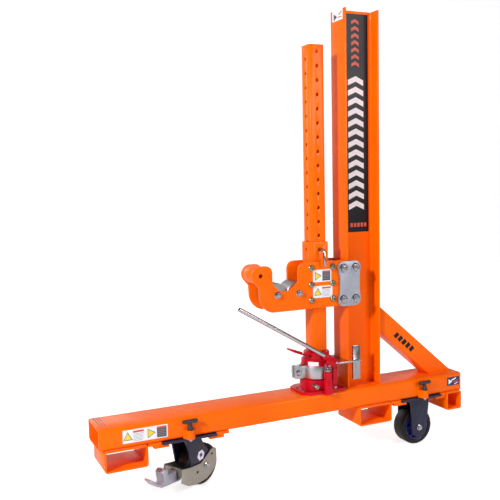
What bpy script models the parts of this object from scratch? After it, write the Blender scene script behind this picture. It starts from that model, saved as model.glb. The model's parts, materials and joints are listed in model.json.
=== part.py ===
"""Reel jack stand: a wheeled beam base, an I-beam mast, and a spindle carriage lifted by a bottle jack.

All named sizes are in inches, measured from the beam's front end (x), its centre plane (y) and the
floor (z). The helpers turn them into metres and move the origin to the middle of the stand's footprint.
The toe and its spindle cradle point to -X, the pump and the caster locks face -Y, and +Z is up.
"""

from math import atan2, cos, pi, radians, sin, tan

import bmesh
import bpy
from mathutils import Matrix, Vector

INCH = 0.0254
GAP = 0.012                      # clearance between touching pieces, 0.3 mm
MERGE = 0.00001

# base beam and feet
BEAM_LENGTH, BEAM_WIDTH, BEAM_HEIGHT = 60.4, 6.0, 3.0
BEAM_TOP = 11.5
BEAM_BOTTOM = BEAM_TOP - BEAM_HEIGHT
WALL = 0.25
FOOT_HALF = 3.19
FOOT_HEIGHT = 3.0
FEET = {"front_foot": (0.65, 6.65), "middle_foot": (40.5, 46.5), "rear_foot": (57.4, 60.4)}

# mast: a rolled I section, and its sloping brace
MAST_FRONT, MAST_DEPTH, MAST_TOP = 39.15, 6.03, 69.0
FLANGE_WIDTH, FLANGE, WEB = 4.0, 0.28, 0.23
MAST_REAR = MAST_FRONT + MAST_DEPTH
BRACE = 3.0
BRACE_SLOPE = radians(40.4)
BRACE_FRONT_FOOT = 55.1

# perforated lift tube and its holes
COLUMN_X = 34.75
COLUMN, COLUMN_BOTTOM, COLUMN_TOP = 2.5, 17.8, 63.5
HOLE_PITCH, HOLE_RADIUS, HOLE_SIDES = 2.086, 0.3, 6
TOP_SIDE_HOLE, SIDE_HOLES = 62.505, 15
TOP_FRONT_HOLE, FRONT_HOLES = 61.46, 14
PIN_Z = TOP_SIDE_HOLE - HOLE_PITCH * (SIDE_HOLES - 1)

# carriage: sleeve, toe plates, spindle cradle and mast guides
SLEEVE, SLEEVE_WALL, SLEEVE_BOTTOM, SLEEVE_TOP = 3.0, 0.1875, 24.55, 34.4
TOE_INNER, TOE_OUTER = 1.512, 2.0
TOE_BOTTOM, TOE_TOP, TOE_REAR = 24.53, 31.5, 39.0
HORN_X, HORN_Z, HORN_RADIUS, HORN_HOLE = 24.61, 30.02, 1.38, 0.33
SPINDLE_XS, SPINDLE_Z, SPINDLE_RADIUS, SPINDLE_BOLT = (27.25, 30.86), 27.02, 1.75, 0.35
GUIDE_INNER, GUIDE_OUTER = 2.04, 2.42
GUIDE_FRONT_X, GUIDE_REAR_X, GUIDE_ZS = 38.2, 40.4, (25.5, 30.3)
GUIDE_RADIUS, GUIDE_BOLT = 0.93, 0.25
STUB_INNER = 0.33

# bottle jack
JACK_BASE = (31.1, 38.2, 2.8, 11.95)      # front, rear, half width, top
BOSS_RADIUS, BOSS_TOP = 2.65, 13.5
TANK_RADIUS, TANK_SHOULDER = 2.35, 16.4
CAP_RADIUS, CAP_TOP = 2.0, 17.6
CYLINDER_BORE, CYLINDER_TOP = 1.2, 17.1
RAM_RADIUS, RAM_FOOT, RAM_TOP = 0.9, 13.6, 18.78
PISTON_RADIUS, PISTON_TOP = 1.15, 13.95
PLUG_HEIGHT = 1.0
PUMP_X, PUMP_Y = 34.9, -3.18
BARREL_RADIUS, BARREL_TOP, PLUNGER_RADIUS = 0.62, 15.3, 0.28
PUMP_BLOCK_RADIUS = 0.7
EYE = (34.82, 15.96)                      # plunger pin
LINK_FOOT, LINK_HEAD = (35.96, 12.54), (36.1, 16.3)
LINK_HALF, CHEEK_INNER, CHEEK_OUTER = 0.18, 0.3, 0.5
PUMP_PIN = 0.14
HANDLE_MOUTH, HANDLE_TIP = (34.87, 17.15), (20.53, 25.75)
HANDLE_RADIUS, HANDLE_BORE = 0.31, 0.24
BAND_BOTTOM, BAND_TOP, BAND_RADIUS = 13.7, 15.6, 2.5
BRACKET_BOTTOM, BRACKET_TOP = 15.62, 15.87
VALVE_X, VALVE_Z, VALVE_RADIUS = 33.1, 12.75, 0.25

# casters
WHEEL_RADIUS, WHEEL_WIDTH = 3.0, 2.5
HUB_RADIUS, AXLE_RADIUS = 2.1, 0.25
PLATE_BOTTOM, PLATE_TOP, PLATE_NEAR, PLATE_FAR = 8.1, 8.45, -3.3, 3.0
FRONT_PLATE, REAR_PLATE = (8.7, 16.7), (48.5, 56.3)
KINGPIN_X, TRAIL, SWIVEL = 12.7, 2.8, radians(25)
REAR_AXLE_X = 52.85
FORK_INNER, FORK_OUTER = 1.45, 1.72
REAR_FORK_INNER, REAR_FORK_OUTER = 1.6, 1.9
BRAKE_INNER, BRAKE_OUTER = 1.76, 1.9
LOCKS = {"front": 12.6, "rear": 52.6}
LOCK_Y, LOCK_BOTTOM, LOCK_TOP, LOCK_BORE, LOCK_PIN = -3.6, 8.47, 9.72, 0.28, 0.25
LOCK_TIP, KNOB_Z, KNOB_LENGTH, KNOB_RADIUS = 8.12, 10.95, 2.2, 0.29

# the stand's footprint, whose middle is the origin: lock boss to the turned brake's far corner
BOSS_WALL = 0.6
BRAKE_END = (4.4, 4.7, 0.48)              # round end of the brake's side plate: x, z, radius
FOOTPRINT_NEAR = LOCK_Y - BOSS_WALL
FOOTPRINT_FAR = (BRAKE_END[0] + BRAKE_END[2]) * sin(SWIVEL) + BRAKE_OUTER * cos(SWIVEL)
DATUM = Vector((BEAM_LENGTH / 2, (FOOTPRINT_NEAR + FOOTPRINT_FAR) / 2, 0))

PAINTS = {                                # colour, roughness, metallic
    "orange_paint": ((1.0, 0.11, 0.0), 0.3, 0.0),
    "red_paint": ((0.62, 0.0, 0.02), 0.25, 0.0),
    "zinc_plate": ((0.5, 0.52, 0.55), 0.4, 1.0),
    "bright_steel": ((0.75, 0.75, 0.77), 0.25, 1.0),
    "black_plastic": ((0.02, 0.022, 0.03), 0.45, 0.0),
    "fork_paint": ((0.015, 0.017, 0.04), 0.35, 0.0),
    "tyre_rubber": ((0.02, 0.02, 0.02), 0.7, 0.0),
    "hub_plastic": ((0.07, 0.05, 0.35), 0.4, 0.0),
    "brake_steel": ((0.42, 0.42, 0.4), 0.45, 1.0),
}


def clear_scene():
    for old in list(bpy.data.objects):
        bpy.data.objects.remove(old, do_unlink=True)
    for name in ("reel_jack_stand", "cutters"):
        collection = bpy.data.collections.new(name)
        bpy.context.scene.collection.children.link(collection)
        yield collection


def make_paint(name):
    colour, roughness, metallic = PAINTS[name]
    material = bpy.data.materials.new(name)
    material.use_nodes = True
    shader = material.node_tree.nodes["Principled BSDF"]
    shader.inputs["Base Color"].default_value = (*colour, 1)
    shader.inputs["Roughness"].default_value = roughness
    shader.inputs["Metallic"].default_value = metallic
    return material


parts, cutters = clear_scene()


def spot(x, y, z):
    return (Vector((x, y, z)) - DATUM) * INCH


def keep(obj, name, paint, smooth=False):
    obj.name = name
    obj.data.name = name
    obj.data.materials.clear()
    obj.data.materials.append(make_paint(paint))
    obj.data.materials[0].name = name + "_" + paint
    if smooth:
        obj.data.shade_smooth()
        obj.data.set_sharp_from_angle(angle=radians(35))
    for home in list(obj.users_collection):
        home.objects.unlink(obj)
    parts.objects.link(obj)
    return obj


def hide_tool(obj):
    for home in list(obj.users_collection):
        home.objects.unlink(obj)
    cutters.objects.link(obj)
    obj.hide_render = True
    obj.display_type = "WIRE"


def combine(obj, tool, operation):
    hide_tool(tool)
    boolean = obj.modifiers.new(operation.lower(), "BOOLEAN")
    boolean.operation = operation
    boolean.solver = "EXACT"
    boolean.object = tool
    return obj


def cut(obj, *tools):
    for tool in tools:
        combine(obj, tool, "DIFFERENCE")
    return obj


def fuse(obj, *tools):
    for tool in tools:
        combine(obj, tool, "UNION")
    return obj


def set_origin(obj, place):
    """Moves the object's origin to a world point without moving its surface."""
    shift = obj.matrix_world.inverted() @ place
    obj.data.transform(Matrix.Translation(-shift))
    obj.matrix_world = obj.matrix_world @ Matrix.Translation(shift)


def box(low, high):
    bpy.ops.mesh.primitive_cube_add(size=1)
    obj = bpy.context.object
    low, high = Vector(low), Vector(high)
    obj.data.transform(Matrix.Diagonal((*((high - low) * INCH), 1)))
    obj.location = spot(*((low + high) / 2))
    return obj


def rod(start, end, radius, sides=16):
    """A solid cylinder between two points."""
    start, end = Vector(start), Vector(end)
    bpy.ops.mesh.primitive_cylinder_add(
        vertices=sides, radius=radius * INCH, depth=(end - start).length * INCH)
    obj = bpy.context.object
    obj.matrix_world = (Matrix.Translation(spot(*((start + end) / 2)))
                        @ (end - start).to_track_quat("Z", "Y").to_matrix().to_4x4())
    return obj


def turned(profile, place, axis="Z", sides=24):
    """Turns (radius, height) points, listed top to bottom down the outer side, about an axis."""
    points = [Vector((r * INCH, 0, h * INCH)) for r, h in profile]
    closed = min(r for r, _ in profile) > 0
    edges = [(i, i + 1) for i in range(len(points) - 1)]
    if closed:
        edges.append((len(points) - 1, 0))
    mesh = bpy.data.meshes.new("profile")
    mesh.from_pydata(points, edges, [])
    obj = bpy.data.objects.new("turned", mesh)
    parts.objects.link(obj)
    screw = obj.modifiers.new("turn", "SCREW")
    screw.axis = "Z"
    screw.steps = screw.render_steps = sides
    screw.use_merge_vertices = True
    screw.merge_threshold = MERGE
    if axis == "Y":
        obj.rotation_euler = (radians(-90), 0, 0)
    obj.location = spot(*place)
    bpy.context.view_layer.update()
    return frozen(obj)


def frozen(obj):
    """Replaces an object with its evaluated mesh, its loose caps welded."""
    bpy.context.view_layer.update()
    graph = bpy.context.evaluated_depsgraph_get()
    mesh = bpy.data.meshes.new_from_object(obj.evaluated_get(graph))
    work = bmesh.new()
    work.from_mesh(mesh)
    bmesh.ops.remove_doubles(work, verts=work.verts, dist=MERGE)
    work.to_mesh(mesh)
    work.free()
    solid = bpy.data.objects.new("solid", mesh)
    parts.objects.link(solid)
    solid.matrix_world = obj.matrix_world
    bpy.data.objects.remove(obj, do_unlink=True)
    bpy.context.view_layer.update()
    return solid


TURN = {                                  # outline axes to world: (u, v, thickness)
    "XZ": Matrix(((1, 0, 0, 0), (0, 0, -1, 0), (0, 1, 0, 0), (0, 0, 0, 1))),
    "YZ": Matrix(((0, 0, 1, 0), (1, 0, 0, 0), (0, 1, 0, 0), (0, 0, 0, 1))),
    "XY": Matrix.Identity(4),
}


def slab(loops, plane, near, far):
    """Extrudes a flat outline, with its holes, from near to far along the plane's normal."""
    curve = bpy.data.curves.new("outline", "CURVE")
    curve.dimensions = "2D"
    curve.fill_mode = "BOTH"
    curve.extrude = abs(far - near) / 2 * INCH
    for loop in loops:
        spline = curve.splines.new("POLY")
        spline.points.add(len(loop) - 1)
        spline.use_cyclic_u = True
        for point, (u, v) in zip(spline.points, loop):
            point.co = (u * INCH, v * INCH, 0, 1)
    obj = bpy.data.objects.new("outline", curve)
    parts.objects.link(obj)
    middle = (near + far) / 2
    offset = {"XZ": (0, middle, 0), "YZ": (middle, 0, 0), "XY": (0, 0, middle)}[plane]
    obj.matrix_world = Matrix.Translation(spot(*offset)) @ TURN[plane]
    return frozen(obj)


def pipe(points, radius, resolution=2):
    """A round bar along a polyline of world points."""
    curve = bpy.data.curves.new("bar", "CURVE")
    curve.dimensions = "3D"
    curve.bevel_depth = radius * INCH
    curve.bevel_resolution = resolution
    curve.use_fill_caps = True
    spline = curve.splines.new("POLY")
    spline.points.add(len(points) - 1)
    for point, place in zip(spline.points, points):
        point.co = (*spot(*place), 1)
    obj = bpy.data.objects.new("bar", curve)
    parts.objects.link(obj)
    return frozen(obj)


def arc(u, v, radius, start, end, steps):
    """Points on an arc, angles in degrees."""
    turns = [radians(start + (end - start) * i / steps) for i in range(steps + 1)]
    return [(u + radius * cos(a), v + radius * sin(a)) for a in turns]


def circle(u, v, radius, sides=12):
    return arc(u, v, radius, 0, 360 * (sides - 1) / sides, sides - 1)


def rounded(u0, u1, v0, v1, radius, steps=3):
    """A rectangle with round corners."""
    corners = ((u1, v0, -90, -1, 1), (u1, v1, 0, -1, -1), (u0, v1, 90, 1, -1), (u0, v0, 180, 1, 1))
    outline = []
    for u, v, start, du, dv in corners:
        outline += arc(u + du * radius, v + dv * radius, radius, start, start + 90, steps)
    return outline


def tube_loops(u0, u1, v0, v1, wall, radius):
    inner = max(radius - wall, 0.08)
    return [rounded(u0, u1, v0, v1, radius),
            rounded(u0 + wall, u1 - wall, v0 + wall, v1 - wall, inner, 2)]


# ---- base ----

def make_base():
    half = BEAM_WIDTH / 2
    beam = slab(tube_loops(-half, half, BEAM_BOTTOM, BEAM_TOP, WALL, 0.4), "YZ", 0, BEAM_LENGTH)
    keep(beam, "base_beam", "orange_paint")
    top = BEAM_BOTTOM - GAP
    for name, (front, rear) in FEET.items():
        loops = tube_loops(front, rear, top - FOOT_HEIGHT, top, WALL, 0.35)
        keep(slab(loops, "XZ", -FOOT_HALF, FOOT_HALF), name, "orange_paint")


def make_rails():
    """Stepped rails, a spacer bar with a keeper bar under it, that hold the caster plates' ends."""
    rails = [  # spacer's outer end, plate end, keeper's outer and inner ends
        (6.75, FRONT_PLATE[0], 7.55, 9.7),
        (18.65, FRONT_PLATE[1], 17.85, 15.7),
        (46.65, REAR_PLATE[0], 47.15, 49.5),
        (57.3, REAR_PLATE[1], 57.1, 55.3),
    ]
    top, ledge, bottom = BEAM_BOTTOM - GAP, PLATE_BOTTOM - GAP, 7.65
    for number, (spacer, plate_end, outer, inner) in enumerate(rails, 1):
        stop = plate_end - 0.05 if outer < inner else plate_end + 0.05
        outline = [(spacer, top), (spacer, ledge), (outer, ledge), (outer, bottom),
                   (inner, bottom), (inner, ledge), (stop, ledge), (stop, top)]
        keep(slab([outline], "XZ", -BEAM_WIDTH / 2, BEAM_WIDTH / 2),
             f"caster_rail_{number}", "orange_paint")


def make_mast():
    half, web = FLANGE_WIDTH / 2, WEB / 2
    front, rear = MAST_FRONT, MAST_REAR
    outline = [(front, -half), (front + FLANGE, -half), (front + FLANGE, -web),
               (rear - FLANGE, -web), (rear - FLANGE, -half), (rear, -half),
               (rear, half), (rear - FLANGE, half), (rear - FLANGE, web),
               (front + FLANGE, web), (front + FLANGE, half), (front, half)]
    keep(slab([outline], "XY", BEAM_TOP + GAP, MAST_TOP), "mast_column", "orange_paint")


def make_brace():
    """A square tube cut to lie on the mast's rear flange and the beam's top."""
    mast, floor = MAST_REAR + GAP, BEAM_TOP + GAP
    low = floor + (BRACE_FRONT_FOOT - mast) * tan(BRACE_SLOPE)
    high = low + BRACE / cos(BRACE_SLOPE)
    rear = BRACE_FRONT_FOOT + BRACE / sin(BRACE_SLOPE)
    body = slab([[(mast, low), (BRACE_FRONT_FOOT, floor), (rear, floor), (mast, high)]],
                "XZ", -BRACE / 2, BRACE / 2)
    rise = WALL / cos(BRACE_SLOPE)
    run = rear + 2 - mast                 # the cutter overshoots both ends
    fall = run * tan(BRACE_SLOPE)
    hollow = slab([[(mast - run, low + rise + fall), (mast + run, low + rise - fall),
                    (mast + run, high - rise - fall), (mast - run, high - rise + fall)]],
                  "XZ", -BRACE / 2 + WALL, BRACE / 2 - WALL)
    keep(cut(body, hollow), "rear_brace", "orange_paint")


# ---- caster locks ----

def make_locks():
    """Spring plungers in bosses on the beam's side. Each stands in front of a caster plate's edge."""
    for end, x in LOCKS.items():
        boss = ([(x - 0.95, -3.012)] + arc(x, LOCK_Y, BOSS_WALL, 180, 360, 10) + [(x + 0.95, -3.012)])
        loops = [boss, circle(x, LOCK_Y, LOCK_BORE, 16)]
        keep(slab(loops, "XY", LOCK_BOTTOM, LOCK_TOP), f"{end}_lock_boss", "orange_paint", True)
        pin = rod((x, LOCK_Y, LOCK_TIP), (x, LOCK_Y, KNOB_Z), LOCK_PIN, 12)
        stem = turned([(0, KNOB_Z), (0.3, KNOB_Z), (0.42, LOCK_TOP + 0.3), (0.42, LOCK_TOP + GAP),
                       (0, LOCK_TOP + GAP)], (x, LOCK_Y, 0), sides=16)
        bar = rod((x - KNOB_LENGTH / 2, LOCK_Y, KNOB_Z), (x + KNOB_LENGTH / 2, LOCK_Y, KNOB_Z),
                  KNOB_RADIUS, 12)
        set_origin(pin, spot(x, LOCK_Y, LOCK_TOP))
        keep(fuse(pin, stem, bar), f"{end}_lock_plunger", "black_plastic", True)


# ---- casters ----

def make_wheel(name, x, y, z):
    """A tyre and its hub, turned about Y, with the origin on the axle."""
    half, shoulder = WHEEL_WIDTH / 2, 0.4
    tyre_profile = [(HUB_RADIUS + GAP, half - 0.12), (WHEEL_RADIUS - shoulder, half),
                    (WHEEL_RADIUS - 0.12, half - 0.14), (WHEEL_RADIUS, half - shoulder),
                    (WHEEL_RADIUS, shoulder - half), (WHEEL_RADIUS - 0.12, 0.14 - half),
                    (WHEEL_RADIUS - shoulder, -half), (HUB_RADIUS + GAP, 0.12 - half)]
    hub_profile = [(AXLE_RADIUS + 0.03, half + 0.1), (0.75, half + 0.1), (0.75, half - 0.35),
                   (HUB_RADIUS, half - 0.14), (HUB_RADIUS, 0.14 - half), (0.75, 0.35 - half),
                   (0.75, -half - 0.1), (AXLE_RADIUS + 0.03, -half - 0.1)]
    tyre = keep(turned(tyre_profile, (x, y, z), "Y", 32), name + "_tyre", "tyre_rubber", True)
    hub = keep(turned(hub_profile, (x, y, z), "Y", 20), name + "_hub", "hub_plastic", True)
    return tyre, hub


def make_axle(name, x, z, reach):
    shank = rod((x, -reach - 0.1, z), (x, reach + 0.1, z), AXLE_RADIUS, 16)
    heads = [rod((x, side * reach, z), (x, side * (reach + 0.3), z), 0.42, 6) for side in (-1, 1)]
    keep(fuse(shank, *heads), name, "bright_steel", True)
    return shank, *heads


def make_rear_caster():
    front, rear = REAR_PLATE
    keep(box((front, PLATE_NEAR, PLATE_BOTTOM), (rear, PLATE_FAR, PLATE_TOP)),
         "rear_caster_plate", "fork_paint")
    x, z, top = REAR_AXLE_X, WHEEL_RADIUS, PLATE_BOTTOM - GAP
    leg = [(x - 1.6, top), *arc(x, z - 0.1, 1.5, 180, 330, 8), (x + 1.85, 6.6), (x + 1.85, top)]
    near, far = (slab([leg, circle(x, z, AXLE_RADIUS + 0.02, 16)], "XZ", side * REAR_FORK_INNER,
                      side * REAR_FORK_OUTER) for side in (-1, 1))
    crown = box((x - 1.6, -1.75, 7.75), (x + 1.85, 1.75, top))
    keep(fuse(near, far, crown), "rear_caster_fork", "fork_paint")
    make_wheel("rear", x, 0, z)
    make_axle("rear_axle", x, z, REAR_FORK_OUTER + 0.02)


def brake_outline():
    """The brake's side plate, in the caster's own x and the height."""
    return [(-2.1, 3.86), (-0.44, 3.64), (1.66, 3.65), (2.7, 4.3), (3.64, 5.05),
            *arc(*BRAKE_END, 90, 0, 3), (4.8, 3.0), (4.6, 2.3), (3.8, 1.6), (2.76, 1.06),
            (0.61, 0.84), (-1.0, 1.13), (-2.3, 1.9)]


def pedal_outline():
    """The brake's foot lever: its nose on the pivot, a raised block with a tooth, and the toe."""
    return [(-1.86, 2.15), (-1.6, 3.2), (-1.0, 3.3), (-0.9, 2.5), (-1.5, 1.9), (-5.0, 1.95),
            (-6.1, 2.5), (-6.8, 3.35), (-6.6, 3.5), (-5.9, 2.85), (-5.0, 2.3), (-4.5, 2.45),
            (-4.74, 3.95), (-4.3, 4.3), (-3.65, 4.05), (-3.8, 3.45), (-2.25, 3.45), (-2.2, 2.15)]


def make_front_caster():
    """The swivel caster. Its pieces are made square to the beam and turned by their parent empty."""
    front, rear = FRONT_PLATE
    plate = box((front, PLATE_NEAR, PLATE_BOTTOM), (rear, PLATE_FAR, PLATE_TOP))
    kingpin = turned([(0, 8.3), (0.4, 8.3), (0.4, 7.42), (0.62, 7.42), (0.62, 7.2), (0, 7.2)],
                     (KINGPIN_X, 0, 0), sides=16)
    race = turned([(1.5, 8.2), (1.5, 7.9), (0.7, 7.9), (0.7, 8.2)], (KINGPIN_X, 0, 0), sides=24)
    keep(fuse(plate, race, kingpin), "front_caster_plate", "fork_paint")

    swivel = bpy.data.objects.new("front_swivel_axis", None)
    parts.objects.link(swivel)
    swivel.location = spot(KINGPIN_X, 0, 0)
    bpy.context.view_layer.update()
    k, axle, z = KINGPIN_X, KINGPIN_X + TRAIL, WHEEL_RADIUS

    leg = [(k - 1.3, 7.85), (k - 0.7, 6.5), (k - 0.1, 3.6), *arc(axle, z, 1.05, 200, 380, 9),
           (axle + 0.75, 4.9), (k + 2.5, 6.2), (k + 1.9, 7.4), (k + 1.3, 7.85)]
    near, far = (slab([leg, circle(axle, z, AXLE_RADIUS + 0.02, 16)], "XZ", side * FORK_INNER,
                      side * FORK_OUTER) for side in (-1, 1))
    crown = turned([(1.7, 7.87), (1.7, 7.52), (0.45, 7.52), (0.45, 7.87)], (k, 0, 0), sides=24)
    keep(fuse(crown, near, far), "front_caster_fork", "fork_paint", True)

    outline = [(k + x, h) for x, h in brake_outline()]
    holes = [circle(axle, z, AXLE_RADIUS + 0.02, 16), circle(k + 0.9, 2.55, 0.2, 8),
             circle(k + 3.95, 4.4, 0.2, 8)]
    sides = [slab([outline, *holes], "XZ", side * BRAKE_INNER, side * BRAKE_OUTER)
             for side in (-1, 1)]
    bar = box((k - 2.05, -BRAKE_OUTER + 0.02, 2.6), (k - 1.9, BRAKE_OUTER - 0.02, 3.73))
    keep(fuse(sides[0], sides[1], bar), "brake_frame", "brake_steel")

    lever = slab([[(k + x, h) for x, h in pedal_outline()]], "XZ", -0.8, 0.8)
    pivot = rod((k - 1.25, -BRAKE_INNER + 0.02, 2.85), (k - 1.25, BRAKE_INNER - 0.02, 2.85), 0.18, 12)
    set_origin(lever, spot(k - 1.25, 0, 2.85))
    keep(fuse(lever, pivot), "brake_pedal", "bright_steel")

    wheel = make_wheel("front", axle, 0, z)
    axle_pieces = make_axle("front_axle", axle, z, BRAKE_OUTER + 0.02)
    bpy.context.view_layer.update()
    turning = [crown, near, far, *sides, bar, lever, pivot, *wheel, *axle_pieces]
    for piece in turning:
        piece.parent = swivel
        piece.matrix_parent_inverse = swivel.matrix_world.inverted()
    swivel.rotation_euler = (0, 0, SWIVEL)


# ---- bottle jack ----

def make_jack_body():
    front, rear, half, top = JACK_BASE
    floor = BEAM_TOP + GAP
    foot = [(front, -1.9), (front + 1.2, -half), (rear, -half), (rear, half),
            (front + 1.2, half), (front, 1.9)]
    base = slab([foot], "XY", floor, top)
    boss = rod((COLUMN_X, 0, floor + 0.02), (COLUMN_X, 0, BOSS_TOP), BOSS_RADIUS, 32)
    block = rod((PUMP_X, PUMP_Y, floor + 0.02), (PUMP_X, PUMP_Y, BOSS_TOP), PUMP_BLOCK_RADIUS, 20)
    lug_x, lug_z = LINK_FOOT
    lug = slab([[(lug_x - 1.2, floor + 0.04), (lug_x + 0.45, floor + 0.04),
                 *arc(lug_x, lug_z, 0.45, 0, 90, 4), (lug_x - 1.2, lug_z + 0.45)]],
               "XZ", PUMP_Y + LINK_HALF + 0.04, PUMP_Y + 0.7)
    stud = rod((lug_x, PUMP_Y + 0.4, lug_z), (lug_x, PUMP_Y - 0.45, lug_z), PUMP_PIN, 12)
    valve_seat = rod((VALVE_X, -4, VALVE_Z), (VALVE_X, -1.2, VALVE_Z), VALVE_RADIUS + 0.02, 16)
    clearance = box((lug_x - 0.35, PUMP_Y - 1, lug_z - 0.5),
                    (lug_x + 0.6, PUMP_Y + LINK_HALF + 0.04, BOSS_TOP + 1))
    fuse(base, boss, block)
    cut(base, clearance, valve_seat)
    keep(fuse(base, lug, stud), "jack_base", "red_paint", True)

    tank = turned([(CAP_RADIUS, CAP_TOP), (CAP_RADIUS, TANK_SHOULDER + 0.25),
                   (TANK_RADIUS, TANK_SHOULDER), (TANK_RADIUS, BOSS_TOP + GAP),
                   (CYLINDER_BORE, BOSS_TOP + GAP), (CYLINDER_BORE, CYLINDER_TOP),
                   (RAM_RADIUS + 0.02, CYLINDER_TOP), (RAM_RADIUS + 0.02, CAP_TOP)],
                  (COLUMN_X, 0, 0), sides=32)
    keep(tank, "jack_tank", "red_paint", True)

    ram = turned([(0, RAM_TOP), (RAM_RADIUS, RAM_TOP), (RAM_RADIUS, PISTON_TOP),
                  (PISTON_RADIUS, PISTON_TOP), (PISTON_RADIUS, RAM_FOOT), (0, RAM_FOOT)],
                 (COLUMN_X, 0, 0), sides=24)
    keep(ram, "jack_ram", "bright_steel", True)

    valve = turned([(0, 1.75), (VALVE_RADIUS, 1.75), (VALVE_RADIUS, 0.35), (0.33, 0.3),
                    (0.33, 0), (0, 0)], (VALVE_X, -3.15, VALVE_Z), "Y", 12)
    keep(valve, "release_valve", "zinc_plate", True)

    loop = [(32.98, -1.3, 17.1), (30.6, -1.3, 18.0), (30.3, -1.05, 18.12), (30.3, 1.05, 18.12),
            (30.6, 1.3, 18.0), (32.98, 1.3, 17.1)]
    keep(pipe(loop, 0.16), "carry_handle", "red_paint", True)


def make_clamp():
    """The split band round the tank, and the bracket that ties the jack to the mast."""
    inner, ear, slot, ear_end = TANK_RADIUS + GAP, 0.7, 0.2, 30.75
    outline = arc(COLUMN_X, 0, BAND_RADIUS, 164, -164, 40)
    outline += [(ear_end, -ear), (ear_end, -slot)]
    outline += arc(COLUMN_X, 0, inner, -175, 175, 40)
    outline += [(ear_end, slot), (ear_end, ear)]
    keep(slab([outline], "XY", BAND_BOTTOM, BAND_TOP), "clamp_band", "bright_steel", True)

    reach, wide, narrow = 41.3, 2.5, FLANGE_WIDTH / 2 + 0.05
    hollow = TANK_RADIUS + 0.05
    front = arc(COLUMN_X, 0, hollow, 70, -70, 12)
    flange = MAST_FRONT - 0.05
    outline = front + [(36.2, -wide), (reach, -wide), (reach, -narrow), (flange, -narrow),
                       (flange, narrow), (reach, narrow), (reach, wide), (36.2, wide)]
    bracket = slab([outline], "XY", BRACKET_BOTTOM, BRACKET_TOP)
    bars = [box((40.0, min(side * 1.85, side * 2.2), 12.8), (reach, max(side * 1.85, side * 2.2), 18.1))
            for side in (-1, 1)]
    keep(fuse(bracket, *bars), "mast_bracket", "bright_steel")


def make_pump():
    barrel = turned([(BARREL_RADIUS, BARREL_TOP - 0.1), (BARREL_RADIUS, BOSS_TOP + GAP),
                     (PLUNGER_RADIUS + 0.03, BOSS_TOP + GAP), (PLUNGER_RADIUS + 0.03, BARREL_TOP),
                     (BARREL_RADIUS - 0.1, BARREL_TOP)], (PUMP_X, PUMP_Y, 0), sides=20)
    keep(barrel, "pump_barrel", "red_paint", True)

    eye_x, eye_z = EYE
    plunger = rod((PUMP_X, PUMP_Y, BOSS_TOP + 0.45), (PUMP_X, PUMP_Y, eye_z - 0.3),
                  PLUNGER_RADIUS, 16)
    slot = [*arc(eye_x + 0.12, eye_z, 0.2, -90, 90, 4), *arc(eye_x - 0.12, eye_z, 0.2, 90, 270, 4)]
    eye = slab([rounded(eye_x - 0.44, eye_x + 0.44, eye_z - 0.38, eye_z + 0.32, 0.28), slot],
               "XZ", PUMP_Y - 0.2, PUMP_Y + 0.2)
    keep(fuse(plunger, eye), "pump_plunger", "bright_steel", True)

    foot, head = LINK_FOOT, LINK_HEAD
    lean = atan2(head[0] - foot[0], head[1] - foot[1])
    tilt = -lean * 180 / pi
    link = [*arc(foot[0], foot[1], 0.34, 180 + tilt, 360 + tilt, 8),
            *arc(head[0], head[1], 0.34, tilt, 180 + tilt, 8)]
    holes = [circle(*foot, PUMP_PIN + 0.02), circle(*head, PUMP_PIN + 0.02)]
    bar = slab([link, *holes], "XZ", PUMP_Y - LINK_HALF, PUMP_Y + LINK_HALF)
    set_origin(bar, spot(foot[0], PUMP_Y, foot[1]))
    keep(bar, "pump_link", "red_paint", True)

    along = Vector((HANDLE_TIP[0] - HANDLE_MOUTH[0], 0, HANDLE_TIP[1] - HANDLE_MOUTH[1])).normalized()
    mouth = Vector((HANDLE_MOUTH[0], PUMP_Y, HANDLE_MOUTH[1]))
    cheek = [(eye_x - 0.3, eye_z - 0.32), (eye_x + 0.2, eye_z - 0.42), (head[0] + 0.1, head[1] - 0.4),
             *arc(*head, 0.42, -45, 60, 4), (mouth.x + 0.55, mouth.z + 0.15),
             (mouth.x - 0.35, mouth.z - 0.1), (eye_x - 0.45, eye_z + 0.15)]
    cheeks = [slab([cheek], "XZ", PUMP_Y + side * CHEEK_INNER, PUMP_Y + side * CHEEK_OUTER)
              for side in (-1, 1)]
    barrel_end = mouth - along * 0.75
    socket = rod(barrel_end, mouth + along * 0.55, 0.5, 20)
    bore = rod(barrel_end + along * 0.2, mouth + along * 1.5, HANDLE_RADIUS + 0.02, 16)
    pins = [rod((x, PUMP_Y - CHEEK_OUTER - 0.08, z), (x, PUMP_Y + CHEEK_OUTER + 0.08, z), PUMP_PIN, 12)
            for x, z in (EYE, head)]
    set_origin(socket, spot(head[0], PUMP_Y, head[1]))
    fuse(socket, *cheeks)
    cut(socket, bore)
    keep(fuse(socket, *pins), "pump_socket", "red_paint", True)

    inside = mouth - along * 0.5
    tip = Vector((HANDLE_TIP[0], PUMP_Y, HANDLE_TIP[1]))
    handle = rod(inside, tip, HANDLE_RADIUS, 20)
    hollow = rod(inside - along, tip + along, HANDLE_BORE, 16)
    keep(cut(handle, hollow), "pump_handle", "bright_steel", True)


# ---- lift column ----

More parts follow.
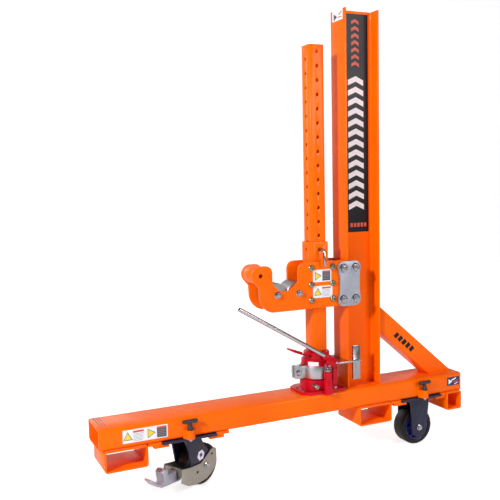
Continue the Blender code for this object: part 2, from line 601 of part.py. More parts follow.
def make_column():
    half = COLUMN / 2
    loops = tube_loops(COLUMN_X - half, COLUMN_X + half, -half, half, WALL, 0.3)
    tube = slab(loops, "XY", COLUMN_BOTTOM, COLUMN_TOP)
    for i in range(SIDE_HOLES):
        z = TOP_SIDE_HOLE - i * HOLE_PITCH
        cut(tube, rod((COLUMN_X, -2, z), (COLUMN_X, 2, z), HOLE_RADIUS, HOLE_SIDES))
    for i in range(FRONT_HOLES):
        z = TOP_FRONT_HOLE - i * HOLE_PITCH
        cut(tube, rod((COLUMN_X - 2, 0, z), (COLUMN_X + 2, 0, z), HOLE_RADIUS, HOLE_SIDES))
    keep(tube, "lift_tube", "orange_paint")
    bore = half - WALL - 3 * GAP
    foot = RAM_TOP + GAP
    keep(box((COLUMN_X - bore, -bore, foot), (COLUMN_X + bore, bore, foot + PLUG_HEIGHT)),
         "thrust_plug", "zinc_plate")


# ---- carriage ----

def toe_outline():
    """A toe plate: mast end, raised back, spindle cradle and horn."""
    return [(TOE_REAR, TOE_BOTTOM), (TOE_REAR, TOE_TOP), *arc(31.9, 30.4, 1.1, 90, 180, 5),
            (30.8, 28.75), (29.75, 27.91), (29.1, 27.52), (28.48, 27.42), (27.8, 27.55),
            (27.16, 27.99), (26.7, 28.4), (26.45, 28.96), *arc(25.45, 30.4, 1.0, 0, 90, 4),
            *arc(HORN_X, HORN_Z, HORN_RADIUS, 90, 230, 8), (24.3, 28.3), (24.4, 26.65),
            (24.65, 25.85), (25.15, 25.2), (25.7, 24.75), (26.3, TOE_BOTTOM)]


def guide_outline():
    """A dog-bone plate round the four guide bolts."""
    low, high = GUIDE_ZS
    front, rear = GUIDE_FRONT_X, GUIDE_REAR_X
    return [*arc(front + 0.1, low - 0.1, 0.92, 180, 270, 4), *arc(rear + 0.02, low - 0.1, 0.92, 270, 360, 4),
            (41.15, low + 1.4), (41.15, high - 1.4), *arc(rear + 0.02, high + 0.1, 0.92, 0, 90, 4),
            *arc(front + 0.1, high + 0.1, 0.92, 90, 180, 4), (37.72, high - 1.4), (37.72, low + 1.4)]


def through_bolt(name, x, z, radius, reach, head, paint):
    shank = rod((x, -reach - 0.1, z), (x, reach + 0.1, z), radius, 16)
    heads = [rod((x, side * reach, z), (x, side * (reach + 0.35), z), head, 6) for side in (-1, 1)]
    keep(fuse(shank, *heads), name, paint, True)


def roller(name, x, z, near, far, radius, bore, sides, paint):
    half, middle = (far - near) / 2, (near + far) / 2
    profile = [(radius, half), (radius, -half), (bore, -half), (bore, half)]
    keep(turned(profile, (x, middle, z), "Y", sides), name, paint, True)


def make_carriage():
    half = SLEEVE / 2
    loops = tube_loops(COLUMN_X - half, COLUMN_X + half, -half, half, SLEEVE_WALL, 0.3)
    sleeve = slab(loops, "XY", SLEEVE_BOTTOM, SLEEVE_TOP)
    cut(sleeve, rod((COLUMN_X, -2, PIN_Z), (COLUMN_X, 2, PIN_Z), HOLE_RADIUS, 12),
        rod((COLUMN_X - 2, 0, PIN_Z), (COLUMN_X + 2, 0, PIN_Z), HOLE_RADIUS, 12))
    keep(sleeve, "carriage_sleeve", "orange_paint")

    toe_holes = [circle(HORN_X, HORN_Z, HORN_HOLE, 16)]
    toe_holes += [circle(x, SPINDLE_Z, SPINDLE_BOLT + 0.02, 16) for x in SPINDLE_XS]
    toe_holes += [circle(GUIDE_FRONT_X, z, GUIDE_BOLT + 0.02, 16) for z in GUIDE_ZS]
    guide_holes = [circle(GUIDE_FRONT_X, z, GUIDE_BOLT + 0.02, 16) for z in GUIDE_ZS]
    for name, side in (("near", -1), ("far", 1)):
        keep(slab([toe_outline(), *toe_holes], "XZ", side * TOE_INNER, side * TOE_OUTER),
             f"{name}_toe_plate", "orange_paint", True)
        guide = slab([guide_outline(), *guide_holes], "XZ", side * GUIDE_INNER, side * GUIDE_OUTER)
        stubs = [rod((GUIDE_REAR_X, side * STUB_INNER, z), (GUIDE_REAR_X, side * (GUIDE_OUTER + 0.3), z),
                     GUIDE_BOLT, 16) for z in GUIDE_ZS]
        keep(fuse(guide, *stubs), f"{name}_guide_plate", "zinc_plate", True)

    ring = [(HORN_RADIUS - 0.03, TOE_INNER - GAP), (HORN_RADIUS - 0.03, GAP - TOE_INNER),
            (HORN_RADIUS - 0.33, GAP - TOE_INNER), (HORN_RADIUS - 0.33, TOE_INNER - GAP)]
    keep(turned(ring, (HORN_X, 0, HORN_Z), "Y", 28), "horn_tube", "orange_paint", True)

    for end, x in zip(("front", "rear"), SPINDLE_XS):
        through_bolt(f"{end}_spindle_bolt", x, SPINDLE_Z, SPINDLE_BOLT, TOE_OUTER + 0.02, 0.5,
                     "bright_steel")
        roller(f"{end}_spindle_roller", x, SPINDLE_Z, 0.06 - TOE_INNER, TOE_INNER - 0.06,
               SPINDLE_RADIUS, SPINDLE_BOLT + 0.03, 32, "bright_steel")
    for level, z in zip(("lower", "upper"), GUIDE_ZS):
        through_bolt(f"{level}_guide_bolt", GUIDE_FRONT_X, z, GUIDE_BOLT, GUIDE_OUTER + 0.02, 0.42,
                     "bright_steel")
        roller(f"{level}_front_roller", GUIDE_FRONT_X, z, 0.06 - TOE_INNER, TOE_INNER - 0.06,
               GUIDE_RADIUS, GUIDE_BOLT + 0.03, 20, "zinc_plate")
        for name, side in (("near", -1), ("far", 1)):
            ends = sorted((side * (STUB_INNER + 0.02), side * (GUIDE_INNER - 0.06)))
            roller(f"{name}_{level}_rear_roller", GUIDE_REAR_X, z, *ends, GUIDE_RADIUS,
                   GUIDE_BOLT + 0.03, 20, "zinc_plate")

    pin = [(COLUMN_X, 2.1, PIN_Z), (COLUMN_X, -2.35, PIN_Z), (COLUMN_X, -2.6, PIN_Z - 0.12),
           (COLUMN_X, -2.72, PIN_Z - 0.4), (COLUMN_X + 0.12, -2.78, PIN_Z - 2.45)]
    keep(pipe(pin, 0.24, 3), "lock_pin", "bright_steel", True)


make_base()
make_rails()
make_mast()
make_brace()
make_locks()
make_rear_caster()
make_front_caster()
make_jack_body()
make_clamp()
make_pump()
make_column()
make_carriage()
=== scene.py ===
import json
from math import ceil, cos, radians, sin

import bmesh
import bpy
from mathutils import Matrix, Vector

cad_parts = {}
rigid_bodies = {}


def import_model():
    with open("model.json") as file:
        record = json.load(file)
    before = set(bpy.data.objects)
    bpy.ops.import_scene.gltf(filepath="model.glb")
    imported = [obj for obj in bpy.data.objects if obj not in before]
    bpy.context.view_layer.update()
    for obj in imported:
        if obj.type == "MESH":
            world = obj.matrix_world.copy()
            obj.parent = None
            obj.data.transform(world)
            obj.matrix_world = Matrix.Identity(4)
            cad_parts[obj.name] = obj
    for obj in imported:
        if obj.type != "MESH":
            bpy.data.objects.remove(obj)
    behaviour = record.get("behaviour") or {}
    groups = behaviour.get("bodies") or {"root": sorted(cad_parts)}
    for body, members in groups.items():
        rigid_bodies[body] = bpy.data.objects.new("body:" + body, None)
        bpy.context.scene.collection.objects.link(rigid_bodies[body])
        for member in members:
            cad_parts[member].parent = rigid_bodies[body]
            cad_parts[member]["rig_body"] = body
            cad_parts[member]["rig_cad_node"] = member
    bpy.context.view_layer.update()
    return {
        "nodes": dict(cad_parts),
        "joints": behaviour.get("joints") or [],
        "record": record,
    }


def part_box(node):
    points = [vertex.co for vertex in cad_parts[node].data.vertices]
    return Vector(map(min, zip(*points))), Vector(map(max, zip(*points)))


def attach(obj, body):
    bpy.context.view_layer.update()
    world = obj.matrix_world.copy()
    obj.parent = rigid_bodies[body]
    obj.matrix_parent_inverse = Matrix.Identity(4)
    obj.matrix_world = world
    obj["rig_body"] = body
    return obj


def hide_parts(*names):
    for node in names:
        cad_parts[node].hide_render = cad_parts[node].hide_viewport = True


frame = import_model()

# places are given in inches from the beam's front end, its middle plane and the floor
inch = 0.0254
beamLow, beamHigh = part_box("base_beam")
bodyOf = {node: body for body, nodes in frame["record"]["behaviour"]["bodies"].items() for node in nodes}
jointOf = {joint["name"]: joint for joint in frame["joints"]}


def spot(x, y, z):
    return Vector((beamLow.x + x * inch, (beamLow.y + beamHigh.y) / 2 + y * inch, z * inch))


# materials

def newGroup(name, inputs, outputs):
    group = bpy.data.node_groups.new(name, "ShaderNodeTree")
    for label, default in inputs.items():
        socket = group.interface.new_socket(label, in_out="INPUT", socket_type="NodeSocketFloat")
        socket.default_value = default
    for label in outputs:
        group.interface.new_socket(label, in_out="OUTPUT", socket_type="NodeSocketFloat")
    entry, leave = group.nodes.new("NodeGroupInput"), group.nodes.new("NodeGroupOutput")
    coords = group.nodes.new("ShaderNodeTexCoord")
    return group, entry, leave, coords.outputs["Object"]


def addNode(tree, kind, settings=None, **links):
    # links: input name (underscores for spaces) to a socket or a value
    node = tree.nodes.new(kind)
    for key, value in (settings or {}).items():
        setattr(node, key, value)
    for key, value in links.items():
        target = node.inputs[int(key[1:]) if key[0] == "i" and key[1:].isdigit() else key.replace("_", " ")]
        if isinstance(value, bpy.types.NodeSocket):
            tree.links.new(value, target)
        else:
            target.default_value = value
    return node


def mathNode(tree, operation, first, second, clamp=False):
    settings = {"operation": operation, "use_clamp": clamp}
    return addNode(tree, "ShaderNodeMath", settings, i0=first, i1=second).outputs[0]


def rampNode(tree, value, low, high):
    return addNode(tree, "ShaderNodeMapRange", {"clamp": True}, Value=value, From_Min=low,
                   From_Max=high).outputs[0]


effects = {  # noise details, where each mask starts and ends, and how much each roughens
    "cloudDetail": 4.0, "cloudRange": (0.3, 0.7), "speckDetail": 2.0,
    "wearDetail": 5.0, "wearFacing": (0.99, 0.75), "wearContrast": 9.0, "wearRough": 0.15,
    "dustDetail": 6.0, "dustUpward": (0.2, 1.0), "dustPatches": (0.42, 0.7), "dustRough": 0.3,
    "grainDetail": 3.0, "grainRange": (0.3, 0.7), "grainRough": 0.12,
    "spangleTone": 0.6, "spangleRough": 0.15,
}


def makeVariationGroup():
    # slow cloudy tone and fine speckle, both 0 to 1
    group, entry, leave, place = newGroup("variation", {"Cloud Scale": 6, "Speck Scale": 220},
                                          ("Cloud", "Speck"))
    cloud = addNode(group, "ShaderNodeTexNoise", Vector=place, Scale=entry.outputs["Cloud Scale"],
                    Detail=effects["cloudDetail"])
    speck = addNode(group, "ShaderNodeTexNoise", Vector=place, Scale=entry.outputs["Speck Scale"],
                    Detail=effects["speckDetail"])
    group.links.new(cloud.outputs["Fac"], leave.inputs["Cloud"])
    group.links.new(speck.outputs["Fac"], leave.inputs["Speck"])
    return group


def makeWearGroup():
    # where an outer edge is rubbed, broken up by noise
    group, entry, leave, place = newGroup("edgeWear", {"Radius": 0.002, "Breakup": 90, "Cut": 0.5},
                                          ("Mask",))
    bevel = addNode(group, "ShaderNodeBevel", {"samples": 4}, Radius=entry.outputs["Radius"])
    geometry = addNode(group, "ShaderNodeNewGeometry")
    dot = addNode(group, "ShaderNodeVectorMath", {"operation": "DOT_PRODUCT"}, i0=bevel.outputs[0],
                  i1=geometry.outputs["Normal"]).outputs["Value"]
    edge = rampNode(group, dot, *effects["wearFacing"])
    noise = addNode(group, "ShaderNodeTexNoise", Vector=place, Scale=entry.outputs["Breakup"],
                    Detail=effects["wearDetail"])
    broken = mathNode(group, "SUBTRACT", noise.outputs["Fac"], entry.outputs["Cut"])
    mask = mathNode(group, "MULTIPLY", edge, mathNode(group, "MULTIPLY", broken, effects["wearContrast"],
                                                      True), True)
    group.links.new(mask, leave.inputs["Mask"])
    return group


def makeDustGroup():
    # settled dust: more on faces that look up, in patches
    group, entry, leave, place = newGroup("dust", {"Amount": 0.3, "Patch Scale": 14}, ("Mask",))
    geometry = addNode(group, "ShaderNodeNewGeometry")
    split = addNode(group, "ShaderNodeSeparateXYZ", Vector=geometry.outputs["Normal"])
    upward = rampNode(group, split.outputs["Z"], *effects["dustUpward"])
    patch = addNode(group, "ShaderNodeTexNoise", Vector=place, Scale=entry.outputs["Patch Scale"],
                    Detail=effects["dustDetail"])
    spread = rampNode(group, patch.outputs["Fac"], *effects["dustPatches"])
    mask = mathNode(group, "MULTIPLY", mathNode(group, "MULTIPLY", upward, spread), entry.outputs["Amount"])
    group.links.new(mask, leave.inputs["Mask"])
    return group


def makeGrainGroup():
    # long fine brush marks, stretched by the three scales
    inputs = {"Along X": 8, "Along Y": 8, "Along Z": 8}
    group, entry, leave, place = newGroup("brushedGrain", inputs, ("Mark",))
    scale = addNode(group, "ShaderNodeCombineXYZ", X=entry.outputs[0], Y=entry.outputs[1],
                    Z=entry.outputs[2])
    stretched = addNode(group, "ShaderNodeVectorMath", {"operation": "MULTIPLY"}, i0=place,
                        i1=scale.outputs[0])
    noise = addNode(group, "ShaderNodeTexNoise", Vector=stretched.outputs[0], Scale=1.0,
                    Detail=effects["grainDetail"])
    group.links.new(rampNode(group, noise.outputs["Fac"], *effects["grainRange"]), leave.inputs["Mark"])
    return group


def makeSpangleGroup():
    # crystal facets of a zinc coat
    group, entry, leave, place = newGroup("zincSpangle", {"Scale": 90}, ("Facet",))
    cells = addNode(group, "ShaderNodeTexVoronoi", {"feature": "F1"}, Vector=place,
                    Scale=entry.outputs["Scale"])
    tone = addNode(group, "ShaderNodeSeparateColor", Color=cells.outputs["Color"]).outputs[0]
    group.links.new(tone, leave.inputs["Facet"])
    return group


groups = {"variation": makeVariationGroup(), "wear": makeWearGroup(), "dust": makeDustGroup(),
          "grain": makeGrainGroup(), "spangle": makeSpangleGroup()}


def placeGroup(tree, name, **values):
    node = tree.nodes.new("ShaderNodeGroup")
    node.node_tree = groups[name]
    for key, value in values.items():
        node.inputs[key.replace("_", " ")].default_value = value
    return node.outputs


def mixColour(tree, factor, first, second, blend="MIX"):
    node = addNode(tree, "ShaderNodeMix", {"data_type": "RGBA", "blend_type": blend})
    tree.links.new(factor, node.inputs["Factor"])
    for label, value in (("A", first), ("B", second)):
        socket = next(s for s in node.inputs if s.name == label and s.type == "RGBA")
        if isinstance(value, bpy.types.NodeSocket):
            tree.links.new(value, socket)
        else:
            socket.default_value = (*value, 1)
    return next(s for s in node.outputs if s.type == "RGBA")


def makeMaterial(name, look):
    # look: the finish's own values; what it leaves out isn't on that finish
    material = bpy.data.materials.new(name)
    material.use_nodes = True
    tree = material.node_tree
    shader = tree.nodes["Principled BSDF"]
    for socket in ("Metallic", "Coat Weight", "Coat Roughness", "IOR", "Specular IOR Level", "Anisotropic"):
        if socket in look:
            shader.inputs[socket].default_value = look[socket]
    tones = placeGroup(tree, "variation", Cloud_Scale=look.get("cloudScale", 5),
                       Speck_Scale=look.get("speckScale", 250))
    cloudLow, cloudHigh = effects["cloudRange"]
    cloud = rampNode(tree, tones["Cloud"], cloudLow, cloudHigh)
    colour = mixColour(tree, cloud, look["colour"], look["colour2"])
    roughLow, roughHigh = look["roughness"]
    rough = addNode(tree, "ShaderNodeMapRange", Value=tones["Cloud"], From_Min=cloudLow, From_Max=cloudHigh,
                    To_Min=roughLow, To_Max=roughHigh).outputs[0]
    height = tones["Speck"]
    if "grain" in look:
        along = look["grain"]
        mark = placeGroup(tree, "grain", Along_X=along[0], Along_Y=along[1], Along_Z=along[2])["Mark"]
        colour = mixColour(tree, mathNode(tree, "MULTIPLY", mark, look["grainTone"]), colour,
                           look["grainColour"])
        rough = mathNode(tree, "ADD", rough, mathNode(tree, "MULTIPLY", mark, effects["grainRough"]))
        height = mark
    if "spangle" in look:
        facet = placeGroup(tree, "spangle", Scale=look["spangle"])["Facet"]
        colour = mixColour(tree, mathNode(tree, "MULTIPLY", facet, effects["spangleTone"]), colour,
                           look["spangleColour"])
        rough = mathNode(tree, "ADD", rough, mathNode(tree, "MULTIPLY", facet, effects["spangleRough"]))
    if "wear" in look:
        mask = placeGroup(tree, "wear", Radius=look["wearRadius"], Cut=look["wear"])["Mask"]
        colour = mixColour(tree, mask, colour, look["wearColour"])
        rough = mathNode(tree, "ADD", rough, mathNode(tree, "MULTIPLY", mask, effects["wearRough"]))
    if "dust" in look:
        mask = placeGroup(tree, "dust", Amount=look["dust"])["Mask"]
        colour = mixColour(tree, mask, colour, look.get("dustColour", (0.55, 0.5, 0.45)))
        rough = mathNode(tree, "ADD", rough, mathNode(tree, "MULTIPLY", mask, effects["dustRough"]))
    bump = addNode(tree, "ShaderNodeBump", Height=height, Strength=look["bump"], Distance=look["bumpDepth"])
    tree.links.new(colour, shader.inputs["Base Color"])
    tree.links.new(rough, shader.inputs["Roughness"])
    tree.links.new(bump.outputs["Normal"], shader.inputs["Normal"])
    return material


orange, deepOrange = (1.0, 0.15, 0.0), (0.95, 0.122, 0.0)
vinyl = {"roughness": (0.3, 0.42), "speckScale": 500, "bump": 0.05, "bumpDepth": 0.0003}
ink = {"roughness": (0.4, 0.5), "speckScale": 500, "bump": 0.04, "bumpDepth": 0.0003}
looks = {
    "orangePowderCoat": {"colour": orange, "colour2": deepOrange, "roughness": (0.24, 0.34),
                         "Coat Weight": 0.09, "Coat Roughness": 0.08, "Specular IOR Level": 0.08,
                         "speckScale": 700, "bump": 0.05, "bumpDepth": 0.0006, "wear": 0.56,
                         "wearRadius": 0.0012, "wearColour": (0.98, 0.2, 0.04), "dust": 0.02},
    "redEnamel": {"colour": (0.62, 0.0, 0.014), "colour2": (0.42, 0.0, 0.01), "roughness": (0.2, 0.32),
                  "Coat Weight": 0.12, "Coat Roughness": 0.05, "Specular IOR Level": 0.14, "speckScale": 320,
                  "bump": 0.12, "bumpDepth": 0.001, "wear": 0.55, "wearRadius": 0.0012,
                  "wearColour": (0.75, 0.06, 0.08), "dust": 0.02},
    "galvanisedPlate": {"colour": (0.3, 0.315, 0.37), "colour2": (0.44, 0.455, 0.52),
                        "roughness": (0.38, 0.5), "Metallic": 0.75, "spangle": 160,
                        "spangleColour": (0.48, 0.49, 0.55), "bump": 0.08, "bumpDepth": 0.0006, "wear": 0.5,
                        "wearRadius": 0.002, "wearColour": (0.6, 0.6, 0.64)},
    "brightZinc": {"colour": (0.46, 0.46, 0.49), "colour2": (0.33, 0.33, 0.37), "roughness": (0.16, 0.28),
                   "Metallic": 1.0, "cloudScale": 60, "bump": 0.06, "bumpDepth": 0.0005, "wear": 0.5,
                   "wearRadius": 0.001, "wearColour": (0.9, 0.9, 0.9)},
    "oliveZinc": {"colour": (0.28, 0.27, 0.19), "colour2": (0.4, 0.385, 0.29), "roughness": (0.24, 0.36),
                  "Metallic": 1.0, "cloudScale": 70, "bump": 0.06, "bumpDepth": 0.0005, "wear": 0.5,
                  "wearRadius": 0.001, "wearColour": (0.8, 0.78, 0.7)},
    "turnedSteel": {"colour": (0.38, 0.38, 0.38), "colour2": (0.29, 0.29, 0.3), "roughness": (0.22, 0.32),
                    "Metallic": 1.0, "grain": (900, 12, 900), "grainTone": 0.5,
                    "grainColour": (0.54, 0.53, 0.52), "bump": 0.12, "bumpDepth": 0.0004},
    "handleChrome": {"colour": (0.58, 0.58, 0.61), "colour2": (0.48, 0.48, 0.52), "roughness": (0.12, 0.22),
                     "Metallic": 1.0, "speckScale": 120, "bump": 0.03, "bumpDepth": 0.0005},
    "bandSteel": {"colour": (0.46, 0.46, 0.49), "colour2": (0.58, 0.58, 0.61), "roughness": (0.24, 0.36),
                  "Metallic": 1.0, "grain": (14, 14, 1400), "grainTone": 0.45,
                  "grainColour": (0.52, 0.52, 0.54), "bump": 0.1, "bumpDepth": 0.0004},
    "brakeSteel": {"colour": (0.25, 0.245, 0.21), "colour2": (0.34, 0.335, 0.29), "roughness": (0.32, 0.45),
                   "Metallic": 0.95, "grain": (60, 60, 1100), "grainTone": 0.4,
                   "grainColour": (0.58, 0.56, 0.5), "bump": 0.1, "bumpDepth": 0.0004, "wear": 0.48,
                   "wearRadius": 0.0015, "wearColour": (0.75, 0.74, 0.7)},
    "forkEnamel": {"colour": (0.007, 0.008, 0.03), "colour2": (0.012, 0.013, 0.042),
                   "roughness": (0.2, 0.34), "Specular IOR Level": 0.28, "Coat Weight": 0.3,
                   "Coat Roughness": 0.15, "speckScale": 420, "bump": 0.15, "bumpDepth": 0.0007,
                   "wear": 0.52, "wearRadius": 0.0014, "wearColour": (0.1, 0.1, 0.14), "dust": 0.04,
                   "dustColour": (0.3, 0.3, 0.34)},
    "tyreRubber": {"colour": (0.003, 0.003, 0.0035), "colour2": (0.008, 0.008, 0.009),
                   "roughness": (0.3, 0.42), "Specular IOR Level": 0.3, "speckScale": 500, "bump": 0.25,
                   "bumpDepth": 0.0008, "wear": 0.52, "wearRadius": 0.003, "wearColour": (0.03, 0.03, 0.03),
                   "dust": 0.04, "dustColour": (0.1, 0.1, 0.1)},
    "hubNylon": {"colour": (0.022, 0.018, 0.17), "colour2": (0.035, 0.028, 0.24), "roughness": (0.34, 0.46),
                 "speckScale": 300, "bump": 0.12, "bumpDepth": 0.0006, "dust": 0.1},
    "knobPlastic": {"colour": (0.014, 0.015, 0.019), "colour2": (0.024, 0.025, 0.03),
                    "roughness": (0.36, 0.5), "speckScale": 900, "bump": 0.25, "bumpDepth": 0.0006,
                    "wear": 0.5, "wearRadius": 0.001, "wearColour": (0.1, 0.1, 0.12)},
    "blackVinyl": {"colour": (0.005, 0.005, 0.009), "colour2": (0.01, 0.01, 0.015), "roughness": (0.3, 0.4),
                   "Specular IOR Level": 0.2, "speckScale": 500, "bump": 0.08, "bumpDepth": 0.0003,
                   "dust": 0.1},
    "navyVinyl": {**vinyl, "colour": (0.022, 0.026, 0.085), "colour2": (0.03, 0.035, 0.11),
                  "Specular IOR Level": 0.3},
    "whiteVinyl": {**vinyl, "colour": (0.84, 0.84, 0.88), "colour2": (0.78, 0.78, 0.83)},
    "yellowVinyl": {**vinyl, "colour": (0.86, 0.66, 0.03), "colour2": (0.8, 0.6, 0.03)},
    "greyInk": {**ink, "colour": (0.3, 0.3, 0.34), "colour2": (0.36, 0.36, 0.4)},
    "slateInk": {**ink, "colour": (0.05, 0.055, 0.075), "colour2": (0.07, 0.075, 0.095)},
    "redInk": {**ink, "colour": (0.66, 0.08, 0.03), "colour2": (0.58, 0.07, 0.03)},
    "blueInk": {**ink, "colour": (0.03, 0.03, 0.4), "colour2": (0.04, 0.04, 0.46)},
    "weldBead": {"colour": (0.9, 0.12, 0.01), "colour2": (0.76, 0.08, 0.005), "roughness": (0.24, 0.36),
                 "Coat Weight": 0.4, "speckScale": 260, "bump": 0.3, "bumpDepth": 0.0008},
}
materials = {name: makeMaterial(name, look) for name, look in looks.items()}
print("materials ready:", len(materials))


# modelling helpers

tolerance = {"latheMerge": 1e-6, "nodeMerge": 2e-5, "flatAngle": 1, "sharpAngle": 32}
bead = {"overlap": 0.85, "stretch": (0.75, 1, 0.8), "segments": 10, "rings": 6, "smooth": 60}


def deselect():
    bpy.ops.object.select_all(action="DESELECT")


def pick(piece):
    deselect()
    piece.select_set(True)
    bpy.context.view_layer.objects.active = piece


def edit(piece, mode="FACE"):
    pick(piece)
    bpy.ops.object.mode_set(mode="EDIT")
    bpy.ops.mesh.select_mode(type=mode)


def leave():
    bpy.ops.object.mode_set(mode="OBJECT")


def settle(piece):
    pick(piece)
    bpy.ops.object.transform_apply(location=True, rotation=True, scale=True)
    return piece


def modify(piece, kind, **settings):
    pick(piece)
    modifier = piece.modifiers.new(kind.lower(), kind)
    for key, value in settings.items():
        setattr(modifier, key, value)
    bpy.ops.object.modifier_apply(modifier=modifier.name)
    return piece


def softenEdges(piece, width, segments=2, angle=30):
    return modify(piece, "BEVEL", width=width, segments=segments, limit_method="ANGLE",
                  angle_limit=radians(angle), harden_normals=False)


def shade(piece, angle=35):
    pick(piece)
    bpy.ops.object.shade_smooth_by_angle(angle=radians(angle))
    return piece


def joinPieces(pieces):
    deselect()
    for piece in pieces:
        piece.select_set(True)
    bpy.context.view_layer.objects.active = pieces[0]
    if len(pieces) > 1:
        bpy.ops.object.join()
    return bpy.context.view_layer.objects.active


def deliver(piece, name, material, body, stands=()):
    piece.name = piece.data.name = name
    if material:
        piece.data.materials.clear()
        piece.data.materials.append(materials[material])
    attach(piece, body)
    if stands:
        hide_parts(*stands)
    return piece


def copyTo(piece, shift=(0, 0, 0), turn=None):
    twin = piece.copy()
    twin.data = piece.data.copy()
    bpy.context.scene.collection.objects.link(twin)
    twin.data.transform(Matrix.Translation(shift) @ (turn or Matrix.Identity(4)))
    return twin


def block(low, high, width=0, segments=3):
    # a box between two corners, its edges rounded
    low, high = Vector(low), Vector(high)
    deselect()
    bpy.ops.mesh.primitive_cube_add(size=1, location=(low + high) / 2)
    piece = bpy.context.object
    piece.scale = high - low
    settle(piece)
    return softenEdges(piece, width, segments) if width else piece


def lathe(profile, place, axis=(0, 0, 1), segments=48, ring=False, cut=None):
    # profile: (radius, height) along the axis, drawn ring by ring; a ring closes on its first point
    radius, height = profile[0]
    deselect()
    bpy.ops.mesh.primitive_circle_add(vertices=segments, radius=radius,
                                      fill_type="NOTHING" if ring else "NGON")
    piece = bpy.context.object
    edit(piece, "EDGE")
    bpy.ops.mesh.select_all(action="SELECT")
    bpy.ops.transform.translate(value=(0, 0, height))
    for nextRadius, nextHeight in profile[1:] + (profile[:1] if ring else []):
        bpy.ops.mesh.extrude_edges_move(TRANSFORM_OT_translate={"value": (0, 0, nextHeight - height)})
        bpy.ops.transform.resize(value=(nextRadius / radius, nextRadius / radius, 1))
        radius, height = nextRadius, nextHeight
    if not ring:
        bpy.ops.mesh.edge_face_add()
    bpy.ops.mesh.select_all(action="SELECT")
    bpy.ops.mesh.remove_doubles(threshold=tolerance["latheMerge"])
    bpy.ops.mesh.normals_make_consistent(inside=False)
    leave()
    if cut:
        softenEdges(piece, *cut)
    piece.rotation_euler = Vector(axis).to_track_quat("Z", "Y").to_euler()
    piece.location = place
    return settle(piece)


def scaled(profile, unit=inch):
    return [(radius * unit, height * unit) for radius, height in profile]


def dressNode(node, material, edge=0.0008, fillet=0, segments=2, smooth=38):
    # a copy of a CAD node: welded, its outer edges rounded and its inner corners filled
    source = frame["nodes"][node]
    piece = source.copy()
    piece.data = source.data.copy()
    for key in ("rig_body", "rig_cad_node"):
        del piece[key]
    piece.parent = None
    bpy.context.scene.collection.objects.link(piece)
    edit(piece, "EDGE")
    bpy.ops.mesh.select_all(action="SELECT")
    bpy.ops.mesh.customdata_custom_splitnormals_clear()
    bpy.ops.mesh.remove_doubles(threshold=tolerance["nodeMerge"])
    bpy.ops.mesh.dissolve_limited(angle_limit=radians(tolerance["flatAngle"]))
    mesh = bmesh.from_edit_mesh(piece.data)
    weights = mesh.edges.layers.float.new("bevel_weight_edge")
    widest = max(edge, fillet)
    for line in mesh.edges:
        if line.is_manifold and line.calc_face_angle(0) > radians(tolerance["sharpAngle"]):
            line[weights] = (edge if line.is_convex else fillet or edge) / widest
    bmesh.update_edit_mesh(piece.data)
    leave()
    modify(piece, "BEVEL", width=widest, segments=segments, limit_method="WEIGHT")
    shade(piece, smooth)
    return deliver(piece, node + "_body", material, bodyOf[node], [node])


def weldBead(name, start, end, body, size=0.0035):
    # overlapping flattened drops, as a weld is laid
    start, end = Vector(start), Vector(end)
    step = size * bead["overlap"]
    count = max(2, ceil((end - start).length / step))
    deselect()
    bpy.ops.mesh.primitive_uv_sphere_add(segments=bead["segments"], ring_count=bead["rings"], radius=size)
    piece = bpy.context.object
    piece.scale = bead["stretch"]
    settle(piece)
    modify(piece, "ARRAY", count=count, use_relative_offset=False, use_constant_offset=True,
           constant_offset_displace=((end - start).length / (count - 1), 0, 0))
    piece.rotation_euler = (end - start).to_track_quat("X", "Z").to_euler()
    piece.location = start
    settle(piece)
    shade(piece, bead["smooth"])
    return deliver(piece, name, "weldBead", body)


# camera, floor and lights

def makeCamera():
    view = {"place": (-1.2943, -2.4541, 1.1111), "yaw": 24.749, "down": 5.366, "roll": -1.2223,
            "lens": 52.91, "sensor": 36, "nearest": 0.05, "furthest": 100}
    bpy.ops.object.camera_add()
    camera = bpy.context.object
    turn = Matrix.Rotation(radians(-view["yaw"]), 4, "Z")
    turn = turn @ Matrix.Rotation(radians(90 - view["down"]), 4, "X")
    turn = turn @ Matrix.Rotation(radians(view["roll"]), 4, "Z")
    camera.matrix_world = Matrix.Translation(view["place"]) @ turn
    camera.data.lens = view["lens"]
    camera.data.sensor_width = view["sensor"]
    camera.data.clip_start, camera.data.clip_end = view["nearest"], view["furthest"]
    bpy.context.scene.camera = camera


